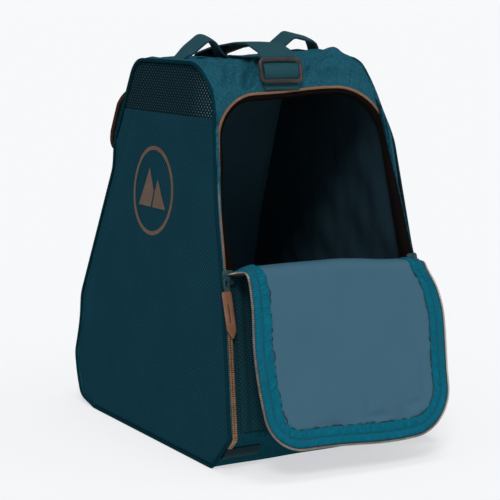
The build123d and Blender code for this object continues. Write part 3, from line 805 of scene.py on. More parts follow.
for BAND in (
        ("rear_upper_cloth", [REAR_SEAM, PROFILE[KNEE], KNEE_SEAM], 2.5, GUSSET,
         "gusset_fabric", ["rear_upper_panel"], 21),
        ("rear_lower_cloth", [KNEE_SEAM, PROFILE[HEEL], PROFILE[HEEL_FOOT], BASE_REAR_SEAM], 1.5, GUSSET,
         "gusset_fabric", ["rear_lower_panel"], 22),
        ("base_cloth", [BASE_REAR_SEAM, PROFILE[REAR_FOOT], BASE_FRONT_SEAM], 0.0, BASE,
         "base_fabric", ["base_panel"], 23, 0.0),
        # The toe takes the darker copy of the gusset cloth: painted shade.
        ("toe_cloth", [BASE_FRONT_SEAM, PROFILE[FOOT], PROFILE[TOE], (-164.0, 41.5, 0)], 1.0, TOE_CLOTH_SHADED,
         "gusset_fabric", ["toe_panel"], 24, 0.6)):
    gusset_band(*BAND)


# ---------------------------------------------------------------- zip teeth and tapes
def teeth_on(name, line_uvn, place, pitch, size, cloth):
    """Teeth or stitches along a line of (u, v, n) points, each one set square to it."""
    line = resample(line_uvn, pitch)
    P = place(line)
    T = tangents(P)
    out = unit(place(line + (0, 0, 1.0)) - P)
    return bead_row(name, P, T, np.cross(out, T), out, size, cloth)


def as_uvn(line, n):
    return np.column_stack([line, np.full(len(line), n)])


TOOTH_PITCH = 1.75
TOOTH_SIZE = (1.25, 2.6, 2.2)


def body_zip():
    """The open zip's teeth on the bag, and the dark guard tape behind them."""
    line = as_uvn(zip_outline(FOLD_V + 1.0, -2.0), 0.1)
    teeth = teeth_on("body_zip_coil", line, placed, TOOTH_PITCH, TOOTH_SIZE, COPPER_TEETH)
    attach(teeth, "bag", "zip_teeth", "body_zip_teeth")
    ring = zip_ring(FOLD_V - 2.0, (-4.6, -3.6, -0.6, 1.4, 3.2, 4.0), (-0.6, -0.6, -0.8, -1.4, -2.6, -8.0))
    inner = np.array([0, 0, 0, 0.5, 1.0, 1.0])[None]
    low_down = ease((ZIP_TOP - 20.0 - ring[..., 1]) / 60.0)
    wide = np.where(ring[..., 0] < 0, 5.5 * ease((215.0 - ring[..., 1]) / 60.0) + 1.0, 1.5)
    lift = np.array([0.6, 1, 1, 0.8, 0, 0])[None]
    cover = (ring[..., 0] > 0) * ease((300.0 - ring[..., 1]) / 20.0) * lift
    ring[..., 2] += 2.6 * cover
    ring[..., 0] -= np.sign(ring[..., 0]) * wide * inner * low_down
    tape = sheet("body_zip_tape", placed(ring), ring_uv(ring), 0.8, GUARD, out=FRONT_OUT)
    attach(tape, "bag", "lining_fabric")


body_zip()


def lower_zip(side, name):
    """One of the closed zips below the fold: two rows of teeth on a tape."""
    v = np.linspace(-15.0, FOLD_V - 6.0, 130)
    parts = []
    for shift in (-1.35, 1.35):
        line = np.column_stack([side * (zip_half(v, side) + shift), v, np.full(len(v), 0.2)])
        row = teeth_on(f"lower_zip_{name}_{'inner' if shift < 0 else 'outer'}", line, placed, TOOTH_PITCH,
                       (1.3, 2.3, 2.2), COPPER_TEETH)
        parts.append(row)
    for row in parts:
        attach(row, "bag", "zip_teeth")
    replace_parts(parts[0], f"lower_zip_teeth_{name}")
    offsets = np.array([-4.4, -3.0, 3.0, 9.0])
    P = np.stack([np.stack([side * (zip_half(v, side) - o), v, np.full(len(v), n)], -1)
                  for o, n in zip(offsets, (-0.4, -0.9, -0.9, -0.3))], 1)
    tape = sheet(f"lower_zip_tape_{name}_cloth", placed(P), grid_uv(placed(P)), 0.8, DOOR, out=FRONT_OUT)
    attach(tape, "bag", "zip_tape", f"lower_zip_tape_{name}")


for SIDE_SIGN, SIDE_NAME in SIDES:
    lower_zip(SIDE_SIGN, SIDE_NAME)


# ---------------------------------------------------------------- lower door and the hanging flap
def lower_door():
    """The half of the door that is still zipped, with its edges folded under."""
    v = np.linspace(DOOR_LOW, FOLD_V - 3.0, 70)
    share = crowded(71)
    u = share[None] * (zip_half(v[:, None], np.sign(share[None])) - 7.5)
    V = np.repeat(v[:, None], 71, 1)
    edge = 1 - np.abs(share[None])
    n = 0.3 + 1.8 * ease(edge / 0.05) - 1.2 * ease(edge / 0.05) * hump(edge - 0.10, 0.02)
    n = n + 1.5 * ripple(u * 2.2, V * 0.55, 31, 60.0) * ease(edge / 0.2)
    P = on_front(u, V, n)
    stretched("door_lower_cloth", P, np.stack([u, V], -1), 1.6, DOOR, "door_fabric",
              ["door_lower_panel"], ["lower_zip_tape_left", "lower_zip_tape_right"])


lower_door()

FLAP_LENGTH = ZIP_TOP - FOLD_V - 2.0
ROLL_LENGTH = 48.0


def flap_half(t, side=-1):
    """Half width of the flap at t, out to the tips of its teeth. It bellies out a little low down."""
    t = np.asarray(t, float)
    z = FRONT_A[1] + (FOLD_V + np.maximum(t, -30.0)) * FRONT_COS
    left = 2.6 * hump(z - 255.0, 48.0) + 3.5 * ease(t / 80.0) + 1.5 * ease((t - 80.0) / 50.0)
    right = 5.0 * ease(t / 60.0) - 7.0 * hump(np.maximum(t, 0.0), 15.0)
    return half_width(z) - ZIP_INSET - 0.9 + np.where(np.asarray(side) > 0, right, left)


def flap_corner(side):
    return np.where(np.asarray(side) > 0, ZIP_CORNER - 0.9, ZIP_CORNER - 7.0)


def flap_gap(u, t):
    """Distance from a flap point to the flap's edge."""
    radius = flap_corner(np.sign(u))
    half = flap_half(t, np.sign(u))
    dx, dy = np.abs(u) - (half - radius), t - (FLAP_LENGTH - radius)
    corner = radius - np.hypot(np.maximum(dx, 0), np.maximum(dy, 0))
    straight = np.minimum(half - np.abs(u), FLAP_LENGTH - t)
    return np.where((dx > 0) & (dy > 0), corner, straight)


# Creases in the flap's lining: middle across and up from the fold, half widths, depth
FLAP_FOLDS = ((18.0, 146.0, 12.0, 4.0, 2.4), (44.0, 148.0, 5.0, 9.0, 2.2), (-34.0, 150.0, 16.0, 4.0, 1.6),
              (74.0, 118.0, 5.0, 16.0, 1.6), (8.0, 136.0, 4.0, 9.0, 1.6), (62.0, 140.0, 9.0, 4.0, 1.8))


def flap_swell(u, t):
    """How far the flap's lining puffs out between its bound edges."""
    gap = flap_gap(u, t)
    swell = 1.5 * ease((gap - 9.0) / 16.0) * ease((t + 20.0) / 40.0)
    swell = swell + 0.8 * ripple(u, t, 40, 95.0) * ease((gap - 9.0) / 22.0)
    for cu, ct, ru, rt, depth in FLAP_FOLDS:
        swell = swell - depth * hump(u - cu, ru, t - ct, rt)
    return swell


def swing(t, depth):
    """A point of the closed flap, t above the fold and depth below its face, swung open to rest."""
    a, b = -FOLD_N - depth, np.asarray(t, float)
    c, s = math.cos(FOLD_ANGLE), math.sin(FOLD_ANGLE)
    return FOLD_N + a * c + b * s, FOLD_V - a * s + b * c


def flap_point(u, t, h):
    """A flap point at rest: hanging open for t > 0, rolled into the bag for t < 0."""
    drift = -5.5 * ease((t - 30.0) / 90.0)
    twist = np.where(u > 0, 4.5, 7.0) * u / 100.0 * ease(t / 100.0)
    bow = 3.0 * np.sin(np.clip(t / FLAP_LENGTH, 0, 1) * math.pi)
    n, v = swing(np.maximum(t, 0.0), 3.0 + h + bow + twist)
    v = v + crest(u, ZIP_TOP) * ease((t - 70.0) / 100.0) * math.cos(FOLD_ANGLE)
    n0, v0 = swing(0.0, 3.0)
    angle = np.clip(-t / ROLL_LENGTH, 0.0, 1.0) * math.pi
    rise = 1.0 + 5.5 * ease((flap_half(0.0) - np.abs(u)) / 14.0)
    roll_r = (n0 + 1.5) / 2
    roll_n = n0 - roll_r + (roll_r + h) * np.cos(angle)
    roll_v = v0 + (rise + h) * np.sin(angle)
    rolled = t < 0
    n = np.where(rolled, roll_n, n)
    v = np.where(rolled, roll_v - np.maximum(-t - ROLL_LENGTH, 0.0), v)
    v = v - 8.5 * ease((u + 10.0) / 115.0) * hump(t, 55.0)
    return on_front(u + drift, v, n)


def flap_place(grid):
    """(u, t, height over the lining) turned into the rest position, rolled over the fold near t = 0."""
    u, t, h = grid[..., 0], grid[..., 1], grid[..., 2]
    spread = hump(t, 26.0)
    return sum(flap_point(u, t + d * spread, h) for d in (-10.0, -5.0, 0.0, 5.0, 10.0)) / 5


def flap_edge(offset, side, low, steps=90):
    """Half of the flap's outline, moved inwards by offset."""
    return corner_line(lambda t: flap_half(t, side) - offset, low, FLAP_LENGTH - offset,
                       float(flap_corner(side)) - offset, steps)


def flap_sheet_grid(offset, layer, start, rows=110):
    """Columns down the flap, each from the roll to where it meets the flap's rounded end."""
    columns = edge_columns([flap_edge(offset, side, 0.0, 2)[1:] for side, _ in SIDES],
                           lambda t, side: float(flap_half(t, side)) - offset, FLAP_LENGTH - offset, 32)
    grid = np.zeros((rows, len(columns), 3))
    for j, (share, end) in enumerate(columns):
        t = start + (end - start) * np.linspace(0, 1, rows)
        grid[:, j, 0] = share * (flap_half(t, np.sign(share)) - offset)
        grid[:, j, 1] = t
    grid[..., 2] = layer + flap_swell(grid[..., 0], grid[..., 1])
    return grid


def flap_line(offset, start, count):
    """The flap's whole outline, from its left side round to its right."""
    left, right = (flap_edge(offset, side, start) for side in (-1, 1))
    whole = np.vstack([left * (-1, 1), right[::-1]])
    length = lengths_along(whole)[-1]
    return resample(whole, length / count)[:count]


def flap_ring(offsets, layers, start=2.0, count=300, ruffle=0.0):
    """A band along the flap's outline, as (u, t, height), with an inner edge that may ruffle."""
    rng = np.random.RandomState(5)
    phases = rng.uniform(0, math.tau, 6)
    rows = []
    for i, (offset, layer) in enumerate(zip(offsets, layers)):
        line = flap_line(offset, start, count)
        share = i / max(1, len(offsets) - 1)
        q = np.linspace(0, 1, len(line))
        wave = sum(np.sin(q * math.tau * f + p) for f, p in zip((23, 37, 51, 8, 64, 15), phases)) / 3
        inward = np.array([0.0, 90.0]) - line
        inward = unit(inward)
        line = line + inward * (ruffle * share ** 3 * wave)[:, None]
        heights = layer + flap_swell(line[:, 0], line[:, 1]) + ruffle * share ** 3 * wave
        rows.append(np.column_stack([line, heights]))
    return np.stack(rows, 1)


BLEND_START = tuple(on_front(0, FOLD_V, 8.0) * MM)
BLEND_END = tuple(on_front(0, FOLD_V, 33.0) * MM)


def on_flap(obj, slot_name, *nodes):
    """Bake a piece's transform into its mesh, in the place of any CAD nodes named."""
    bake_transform(obj)
    if nodes:
        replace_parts(obj, *nodes)


def door_flap():
    reach = -ROLL_LENGTH
    grid = flap_sheet_grid(8.0, 0.0, reach - 10.0)
    P = flap_place(grid)
    lining = sheet("flap_lining_cloth", P, grid[..., :2].copy(), 1.6, FLAP_LINING, out=FRONT_OUT)
    on_flap(lining, "flap_lining_fabric", "flap_lining", "door_fold")
    cut(lining, P, "hung", "door_lower_panel")
    grid = flap_sheet_grid(5.0, -1.9, reach - 4.0)
    P = flap_place(grid)
    shell = sheet("flap_shell_cloth", P, grid[..., :2].copy(), 2.2, DOOR, out=FRONT_OUT)
    on_flap(shell, "door_fabric", "flap_panel")
    cut(shell, P, "hung", "door_lower_panel")
    ring = flap_ring((3.0, 4.0, 10.0, 11.0, 12.0, 17.0, 19.5), (0.3, 1.0, 1.2, 0.8, 1.2, 1.3, 0.8),
                     start=reach + 2.0, ruffle=0.6)
    binding = sheet("flap_binding_tape", flap_place(ring), ring_uv(ring), 1.0, BINDING, out=FRONT_OUT)
    on_flap(binding, "zip_tape", "flap_binding")
    ring = flap_ring((1.0, 2.0, 9.0), (-0.9, -0.6, -0.6), start=reach + 4.0)
    tape = sheet("flap_zip_tape_cloth", flap_place(ring), ring_uv(ring), 0.8, COPPER_TAPE, out=FRONT_OUT)
    on_flap(tape, "zip_tape", "flap_zip_tape")
    line = flap_ring((1.3, 1.3), (0.3, 0.3), start=reach + 2.0, count=430)[:, 0]
    teeth = teeth_on("flap_zip_coil", line, flap_place, TOOTH_PITCH, (1.15, 2.0, 1.8), PALE_TEETH)
    on_flap(teeth, "zip_teeth", "flap_zip_teeth")
    line = flap_ring((11.0, 11.0), (1.0, 1.0), start=reach + 6.0, count=300)[:, 0]
    stitches = teeth_on("flap_binding_stitches", line, flap_place, 3.4, (2.3, 0.6, 0.6), THREAD_TEAL)
    on_flap(stitches, "zip_tape")
    # A dark line along the binding's inner edge: partly its seam thread, partly painted shade for the gap
    # under the binding.
    line = flap_ring((20.0, 20.0), (0.1, 0.1), start=2.0, count=300, ruffle=0.8)[:, 1]
    seam = tube("flap_binding_seam_shade_line", flap_place(line), 0.55, SEAM_THREAD_AND_SHADE, sides=6)
    on_flap(seam, "zip_tape")


door_flap()


# ---------------------------------------------------------------- inside lining
LINING_INSET = 5.2


def lining_band(name, corners, nodes, seed, wrinkle, cloth=LINING):
    """A stretch of the lining inside the band round the bag."""
    path, tangent, s = band_path(corners, 5.0, LINING_INSET)
    share = crowded(81)
    x = across(share[None], path[:, :1], path[:, 1:]) - 7.0 * share[None]
    S = np.repeat(s[:, None], 81, 1)
    edge = ease((1 - np.abs(share[None])) / 0.1)
    off = wrinkle * (0.6 * ripple(x, S, seed, 75.0) + 0.4 * ripple(x, S, seed + 1, 34.0)) * edge
    off = off + 1.5 * edge
    P = band_grid(path, tangent, x, -off)
    stretched(name, P, np.stack([x, S], -1), 0.8, cloth, "lining_fabric", nodes, PIPINGS)


def side_lining(side, name):
    """The loose lining inside a side wall."""
    P = side_grid(side, 6.0, TOP_Z - 5.0, 90, 80)
    y, z = P[..., 1], P[..., 2]
    inside = edge_distance(y, z)
    soft = ease(inside / 40.0)
    folds = 2.6 * ripple(y, z, 51 + side, 90.0) + 1.2 * ripple(y, z, 53 + side, 38.0)
    P[..., 0] = side * (soft_half(y, z, side) - 6.6 - soft * (2.6 + 0.8 * folds))
    P[..., 1] = np.clip(y, None, np.interp(z, SPAN_Z, SPAN_REAR) - 5.0)
    front = np.array([profile_span(value)[0] for value in z[:, 0]])[:, None]
    P[..., 1] = np.maximum(P[..., 1], front + 6.5)
    # The right wall takes the darker copy of the lining: painted shade.
    stretched(f"side_lining_{name}_cloth", P, P[..., 1:], 0.8, LINING if side < 0 else LINING_RIGHT_SHADED,
              "lining_fabric", [f"side_lining_{name}"], [f"side_foam_{name}"])


for SIDE_SIGN, SIDE_NAME in SIDES:
    side_lining(SIDE_SIGN, SIDE_NAME)
for BAND in (
        # The lining under the top uses the darker copy of the lining: painted shade.
        ("lining_top_cloth", [(-86.0, 367.0, 0), PROFILE[CROWN], (56.0, TOP_Z, 0)],
         ["lining_top"], 61, 1.6, LINING_TOP_SHADED),
        ("lining_rear_cloth", [(52.0, TOP_Z, 0), PROFILE[REAR_TOP], PROFILE[KNEE], PROFILE[HEEL],
                               (176.0, 12.0, 0)], ["lining_rear"], 63, 2.6),
        ("lining_floor_cloth", [(172.0, 6.0, 0), (133.0, 3.0, 10.0), (-126.0, 3.0, 8.0), (-150.0, 24.0, 0)],
         ["lining_floor"], 65, 0.8)):
    lining_band(*BAND)


def door_inner_lining():
    """The lining behind the lower half of the door."""
    v = np.linspace(DOOR_LOW + 4.0, FOLD_V - 1.0, 50)
    share = np.linspace(-1, 1, 51)
    u = share[None] * (zip_half(v[:, None], np.sign(share[None])) - 8.0)
    V = np.repeat(v[:, None], 51, 1)
    P = on_front(u, V, -3.6 - 0.8 * ripple(u, V, 71, 60.0))
    stretched("door_lower_lining_cloth", P, np.stack([u, V], -1), 0.8, FLAP_LINING, "lining_fabric",
              ["door_lower_lining"], ["door_lower_panel"])


door_inner_lining()


# ---------------------------------------------------------------- webbing, handles and shoulder strap
def ribbon(name, path, width, thickness, cloth, samples=9, edge_curl=0.0):
    """A flat strap. path is a list of (point, width direction, out direction)."""
    P = np.array([p for p, _, _ in path], float)
    W = np.array([w for _, w, _ in path], float)
    N = np.array([n for _, _, n in path], float)
    share = np.linspace(-0.5, 0.5, samples)
    rim = (1 - (2 * np.abs(share)) ** 6) * 0.25
    lift = thickness / 2 + rim - edge_curl * (2 * share) ** 2
    grid = P[:, None] + W[:, None] * share[None, :, None] * width + N[:, None] * lift[None, :, None]
    along = lengths_along(P)
    uv = np.stack(np.meshgrid(along, share * width, indexing="ij"), -1)
    return sheet(name, grid, uv, thickness, cloth, out=N[:, None])


def path_through(corners, step):
    return resample(rounded_path(corners, arc_steps=10), step)


def flat_path(points, plane):
    """Path for ribbon() from 2D points. plane gives (point, width, out) from a point and tangent."""
    T = tangents(points)
    return [plane(p, t) for p, t in zip(points, T)]


HANDLE_LOW, HANDLE_HIGH = cad("handle_base_webbing")
HANDLE_Y = (HANDLE_LOW[1] + HANDLE_HIGH[1]) / 2
HANDLE_WIDTH = HANDLE_HIGH[1] - HANDLE_LOW[1]
HANDLE_TOP = cad("grab_handle_left")[1][2] - 1.0
ANCHOR_LOW, ANCHOR_HIGH = cad("strap_anchor_rear")
STRAP_X = (ANCHOR_LOW[0] + ANCHOR_HIGH[0]) / 2
STRAP_WIDTH = ANCHOR_HIGH[0] - ANCHOR_LOW[0]
STRAP_REAR_Y = 94.5
STRAP_TURN = math.radians(4.4)
STRAP_ACROSS = np.array([math.cos(STRAP_TURN), -math.sin(STRAP_TURN), 0.0])
HANDLE_LEAN = math.radians(15.0)


def handle_loop(side, name, outer, peaks, inner):
    """One loop of the grab handle, from its outer foot over its peak to its inner foot."""
    foot_z = TOP_Z + 1.6
    corners = [(outer + side * 5.0, foot_z - 2.6, 0), (outer - side * 3.0, foot_z - 0.4, 8.0), *peaks,
               (inner + side * 1.0, foot_z + 0.6, 8.0), (inner - side * 7.0, foot_z, 0)]
    points = path_through(corners, 1.6)

    def place(p, t):
        lean = HANDLE_LEAN * float(ease((p[1] - foot_z - 1.0) / 9.0))
        width = np.array([0, math.cos(lean), math.sin(lean)])
        along = np.array([t[0], 0, t[1]])
        out = np.cross(along, width)
        return (p[0], HANDLE_Y, p[1]), width, out * np.sign(out[2] or 1.0)

    loop = ribbon(f"grab_handle_{name}_webbing", flat_path(points, place), HANDLE_WIDTH, 1.8, WEBBING,
                  edge_curl=0.5)
    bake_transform(loop)
    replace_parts(loop, f"grab_handle_{name}", f"handle_feet_{name}")


handle_loop(-1, "left", -88.0, [(-50.0, HANDLE_TOP + 5.5, 10.0)], -31.0)
handle_loop(1, "right", 86.5, [(75.0, HANDLE_TOP - 1.5, 6.0), (48.0, HANDLE_TOP + 4.5, 8.0)], 16.0)


def handle_base():
    """The flat webbing between the two loops."""
    x = np.linspace(-29.0, 13.0, 24)
    path = [((value, HANDLE_Y, TOP_Z + 1.2), (0, 1, 0), (0, 0, 1)) for value in x]
    base = ribbon("handle_base_cloth", path, HANDLE_WIDTH, 1.6, WEBBING)
    attach(base, "bag", "webbing", "handle_base_webbing")


handle_base()

STRAP_PATH = [(-95.5, 361.4, 0), (-91.5, 365.0, 3.0), (-84.0, 396.6, 13.0), (-52.0, 405.6, 20.0),
              (-20.0, 405.8, 30.0), (35.0, 400.2, 30.0), (77.0, 392.6, 12.0), (94.5, 368.0, 16.0),
              (98.5, 351.0, 0)]


def strap_place(p, t):
    ahead = p[0] - STRAP_REAR_Y
    sin, cos = math.sin(STRAP_TURN), math.cos(STRAP_TURN)
    point = (STRAP_X + ahead * sin, STRAP_REAR_Y + ahead * cos, p[1])
    return point, STRAP_ACROSS, (-t[1] * sin, -t[1] * cos, t[0])


def strap_top():
    """The shoulder strap from above the door to the bag's rear edge."""
    points = path_through(STRAP_PATH, 2.0)
    strap = ribbon("shoulder_strap_top_webbing", flat_path(points, strap_place), STRAP_WIDTH, 1.8, WEBBING,
                   samples=11, edge_curl=0.4)
    attach(strap, "bag", "webbing", "shoulder_strap_top")


strap_top()


def buckle():
    """The slide adjuster's frame, and the webbing that humps through it."""
    low, high = cad("strap_buckle")
    slide = np.array(JOINTS["buckle_slide"]["axis"])
    across = STRAP_ACROSS
    out = np.cross(across, slide)
    middle = (low + high) / 2 + out * 1.2
    half_w, half_h, corner, bar = 24.0, 13.0, 6.0, 2.1
    loop = []
    for cx, cy, start in ((1, 1, 0), (-1, 1, 90), (-1, -1, 180), (1, -1, 270)):
        for k in range(9):
            angle = math.radians(start + 90 * k / 8)
            reach = corner - bar
            loop.append((cx * (half_w - corner) + reach * math.cos(angle),
                         cy * (half_h - corner) + reach * math.sin(angle)))
    loop = resample(np.array(loop + loop[:1]), 2.0)[:-1]
    bow = 1.6 * (1 - (loop[:, 0] / half_w) ** 2)
    points = middle + across * loop[:, :1] + slide * loop[:, 1:] + out * (0.4 + bow[:, None])
    ring = tube("strap_buckle_frame", points, bar, BUCKLE, closed=True, sides=12, flat=0.72, up=out)
    attach(ring, "buckle", "buckle_metal", "strap_buckle")
    s = np.linspace(-1, 1, 25)
    hoop = -1.4 + 3.6 * np.cos(s * math.pi / 2)
    centre = middle + slide * (s[:, None] * (half_h - 3.6)) + out * hoop[:, None]
    T = tangents(centre)
    path = [(p, across, np.cross(across, t)) for p, t in zip(centre, T)]
    pad = ribbon("strap_buckle_webbing", path, STRAP_WIDTH - 1.0, 1.8, WEBBING, samples=11, edge_curl=1.0)
    attach(pad, "buckle", "webbing")


buckle()


# ---------------------------------------------------------------- rear strap and pad
SWING = JOINTS["shoulder_strap_swing"]
SWING_AXIS = np.array(SWING["axis"])
SWING_POINT = np.array(SWING["pos_m"]) / MM
REAR_OUT = np.array([0, -SWING_AXIS[2], SWING_AXIS[1]])
REAR_ORIGIN = SWING_POINT - REAR_OUT * 2.0


def on_rear(x, t, b):
    """A point x across, t down the rear face from where the strap leaves it, and b off the face."""
    x, t, b = np.broadcast_arrays(np.asarray(x, float), np.asarray(t, float), np.asarray(b, float))
    base = REAR_ORIGIN * (0, 1, 1)
    return base + x[..., None] * (1, 0, 0) + t[..., None] * SWING_AXIS + b[..., None] * REAR_OUT


SLING = ((0.0, 4.0), (14.0, 14.0), (40.0, 24.0), (75.0, 27.0), (110.0, 24.0), (150.0, 14.0), (190.0, 6.0),
         (226.0, 2.2), (246.0, 1.6))
DRIFT = ((-14.0, -9.0), (0.0, -12.0), (45.0, -58.0), (70.0, -60.0), (95.0, -59.0), (160.0, -32.0),
         (230.0, -9.0), (246.0, -9.0))


def sling_height(t):
    return np.interp(t, *zip(*SLING))


def sling_centre(t):
    return np.interp(t, *zip(*DRIFT))


def smooth(values, times):
    """Rounded-off values: each one is averaged with its neighbours, several times."""
    for _ in range(times):
        values = np.r_[values[0], (values[:-2] + 2 * values[1:-1] + values[2:]) / 4, values[-1]]
    return values


def sling_piece(name, t0, t1, nodes):
    """The strap behind the bag, from t0 to t1 down it."""
    t = np.linspace(-14.0, 246.0, 131)
    keep = (t >= t0) & (t <= t1)
    x = smooth(sling_centre(t), 10)[keep]
    b = smooth(sling_height(t) + pad_lift(t), 8)[keep]
    t = t[keep]
    points = on_rear(x, t, b)
    T = tangents(points)
    path = []
    for p, tangent in zip(points, T):
        width = np.array([1.0, 0, 0]) - tangent * tangent[0]
        width /= np.linalg.norm(width)
        path.append((p, width, np.cross(tangent, width) * np.sign(np.cross(tangent, width) @ REAR_OUT)))
    strap = ribbon(name, path, STRAP_WIDTH, 1.8, WEBBING, samples=11, edge_curl=0.3)
    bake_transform(strap)
    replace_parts(strap, *nodes)


def pad_lift(t):
    """How far the strap stands off where it runs over the pad."""
    return 10.5 * ease((t - 2.0) / 14.0) * ease((122.0 - t) / 16.0)


def rear_strap():
    top = (tuple(on_rear(-9.0, -6.0, 2.0) * MM), tuple(on_rear(-9.0, 34.0, 2.0) * MM))
    sling_piece("shoulder_strap_rear_upper", -14.0, 60.0, ["shoulder_strap_rear"])
    low = (tuple(on_rear(-9.0, 240.0, 2.0) * MM), tuple(on_rear(-9.0, 170.0, 2.0) * MM))
    sling_piece("shoulder_strap_rear_lower", 58.0, 246.0, ["strap_anchor_rear"])


rear_strap()


PAD_T, PAD_HALF, PAD_RISE = 58.0, 42.0, 4.0  # the pad's middle down the strap, half length, lift
PAD_FRAMES = 20


def pad_grid(grow, height, rows=40, columns=32):
    """A rounded pad outline, as a grid of (x, t, height) that is square to its edges."""
    low, high = cad("shoulder_pad_binding")
    half_w = (high[0] - low[0]) / 2 + grow
    half_l = PAD_HALF + grow
    A, B = np.meshgrid(np.linspace(-1, 1, rows), np.linspace(-1, 1, columns), indexing="ij")
    power = 5.0
    rounded = (np.abs(A) ** power + np.abs(B) ** power) ** (1 / power)
    stretch = np.maximum(np.abs(A), np.abs(B)) / np.maximum(rounded, 1e-6)
    x = sling_centre(70.0) + B * stretch * half_w
    t = PAD_T + A * stretch * half_l
    edge = 1 - np.maximum(np.abs(A), np.abs(B))
    crown = height * np.sqrt(np.clip(1 - (1 - ease(edge / 0.35)) ** 2, 0, 1))
    return x, t, crown


def inflated(obj, pinned, voxel, pressure, cap):
    """Remesh a closed piece, blow it up a little as cloth, and keep the result as plain mesh."""
    def evaluated():
        shown = obj.evaluated_get(bpy.context.evaluated_depsgraph_get())
        mesh = bpy.data.meshes.new_from_object(shown)
        obj.modifiers.clear()
        obj.data = mesh
        return mesh

    remesh = obj.modifiers.new("remesh", "REMESH")
    remesh.mode, remesh.voxel_size = "VOXEL", voxel * MM
    mesh = evaluated()
    before = np.array([v.co for v in mesh.vertices])
    group = obj.vertex_groups.new(name="pin")
    group.add([i for i, co in enumerate(before) if pinned(co / MM)], 1.0, "REPLACE")
    settings = obj.modifiers.new("cloth", "CLOTH").settings
    settings.use_pressure, settings.uniform_pressure_force = True, pressure
    settings.effector_weights.gravity = 0.0
    settings.vertex_group_mass = "pin"
    for number in range(1, PAD_FRAMES + 1):
        bpy.context.scene.frame_set(number)
    mesh = evaluated()
    bpy.context.scene.frame_set(1)
    after = np.array([v.co for v in mesh.vertices])
    move = after - before
    size = np.linalg.norm(move, axis=1, keepdims=True)
    after = before + move * np.minimum(1.0, cap * MM / np.maximum(size, 1e-9))
    mesh.vertices.foreach_set("co", after.ravel())
    obj.vertex_groups.clear()
    obj.modifiers.new("smooth", "SUBSURF").levels = 1
    evaluated()


def shoulder_pad():
    """One padded body with sewn channels across it, and a binding round its edge."""
    verts, faces = [], []
    for sign, height in ((1, 3.6), (-1, 2.6)):
        x, t, crown = pad_grid(1.6, height)
        ribs = 0.5 * np.cos((t - PAD_T) / (2 * PAD_HALF) * math.tau * 4) * (crown / height)
        P = on_rear(x, t, sling_height(t) + PAD_RISE + sign * (crown + ribs))
        turn = 1 if (grid_normals(P) @ REAR_OUT).mean() * sign > 0 else -1
        index = np.arange(x.size).reshape(x.shape) + len(verts)
        faces += [tuple(face[::turn]) for face in quads(index)]
        verts += P.reshape(-1, 3).tolist()
    pad = new_object("shoulder_pad_cloth", verts, faces)
    body = bmesh.new()
    body.from_mesh(pad.data)
    bmesh.ops.remove_doubles(body, verts=body.verts, dist=0.02 * MM)
    body.to_mesh(pad.data)
    body.free()
    x, t, _ = pad_grid(-1.0, 1.0, 44, 36)
    edge = np.stack([x, t], -1)
    rim = np.vstack([edge[:, 0], edge[-1, 1:], edge[-2::-1, -1], edge[0, -2:0:-1], edge[:1, 0]])
    rim = resample(rim, 2.0)[:-1]
    points = on_rear(rim[:, 0], rim[:, 1], sling_height(rim[:, 1]) + PAD_RISE)
    inflated(pad, lambda co: np.linalg.norm(points - co, axis=1).min() < 4.0,
             voxel=3.0, pressure=4.0, cap=3.0)
    mesh = pad.data
    mesh.materials.clear()
    mesh.materials.append(DOOR)
    while mesh.uv_layers:
        mesh.uv_layers.remove(mesh.uv_layers[0])
    layer = mesh.uv_layers.new(name="UVMap")
    for loop, spot in zip(mesh.loops, layer.data):
        co = np.array(mesh.vertices[loop.vertex_index].co)
        spot.uv = (co[0], co @ SWING_AXIS)
    mesh.polygons.foreach_set("use_smooth", [True] * len(mesh.polygons))
    attach(pad, "shoulder_strap", "pad_fabric", "shoulder_pad")
    edge = tube("shoulder_pad_edge", points, 1.9, COPPER_BINDING, closed=True, sides=10, up=REAR_OUT,
                flat=1.3)
    attach(edge, "shoulder_strap", "copper_binding", "shoulder_pad_binding")


shoulder_pad()


# ---------------------------------------------------------------- pulls, tabs, print and hidden parts
def pull(side, name):
    """A folded webbing link and a leather strap end with a pressed slit."""
    low, high = cad(f"zip_pull_{name}")
    x = (low[0] + high[0]) / 2
    v_hinge, n_hinge = front_coordinates(np.array(JOINTS[f"pull_{name}_swing"]["pos_m"]) / MM)
    top = v_hinge - 12.0
    lean, length, half = 1.6, 45.0, 4.75
    a = np.linspace(0, length, 46)[:, None]
    b = np.linspace(0, 1, 17)[None]
    point = np.maximum((a - (length - 8.0)) / 8.0, 0)
    nick = np.maximum(0.8 - a * 0.6, 0)
    left = -half + point * 4.5 + nick
    right = half - np.maximum(point - 0.15, 0) * 4.6 - nick
    u = x + lean * a / length + left + (right - left) * b
    dome = 1.1 + 0.35 * ease(np.minimum(b, 1 - b) * (right - left) / 1.6)
    groove = np.maximum(1 - ((b - 0.5) / 0.13) ** 2, 0) * ((a > 11.0) & (a < 31.0))
    grid = np.stack(np.broadcast_arrays(u, top - a, n_hinge + dome - 0.9 * groove), -1)
    leather = sheet(f"zip_pull_{name}_leather", placed(grid), grid[..., :2].copy(), 2.4, LEATHER,
                    out=FRONT_OUT)
    attach(leather, f"pull_{name}", "leather", f"zip_pull_{name}")
    slit = [(x + lean * 12.0 / length, top - 12.0), (x + lean * 30.0 / length, top - 30.0)]
    line = resample(np.array(slit), 2.0)
    dark = tube(f"zip_pull_{name}_slit", placed(as_uvn(line, n_hinge + 0.75)), 0.85, LEATHER_DARK, sides=8,
                flat=0.5, up=(0, -1, 0.2))
    attach(dark, f"pull_{name}", "leather")
    angle = np.linspace(0, math.tau, 24, endpoint=False)
    loop = np.column_stack([x - side * 1.2 + 2.3 * np.cos(angle),
                            (v_hinge + top) / 2 - 0.5 + 7.2 * np.sin(angle)])
    cord = tube(f"pull_link_{name}_cord", placed(as_uvn(loop, n_hinge)), 1.25, WEBBING,
                closed=True, sides=8, up=(0, -1, 0.2))
    attach(cord, f"pull_{name}", "webbing", f"pull_link_{name}")


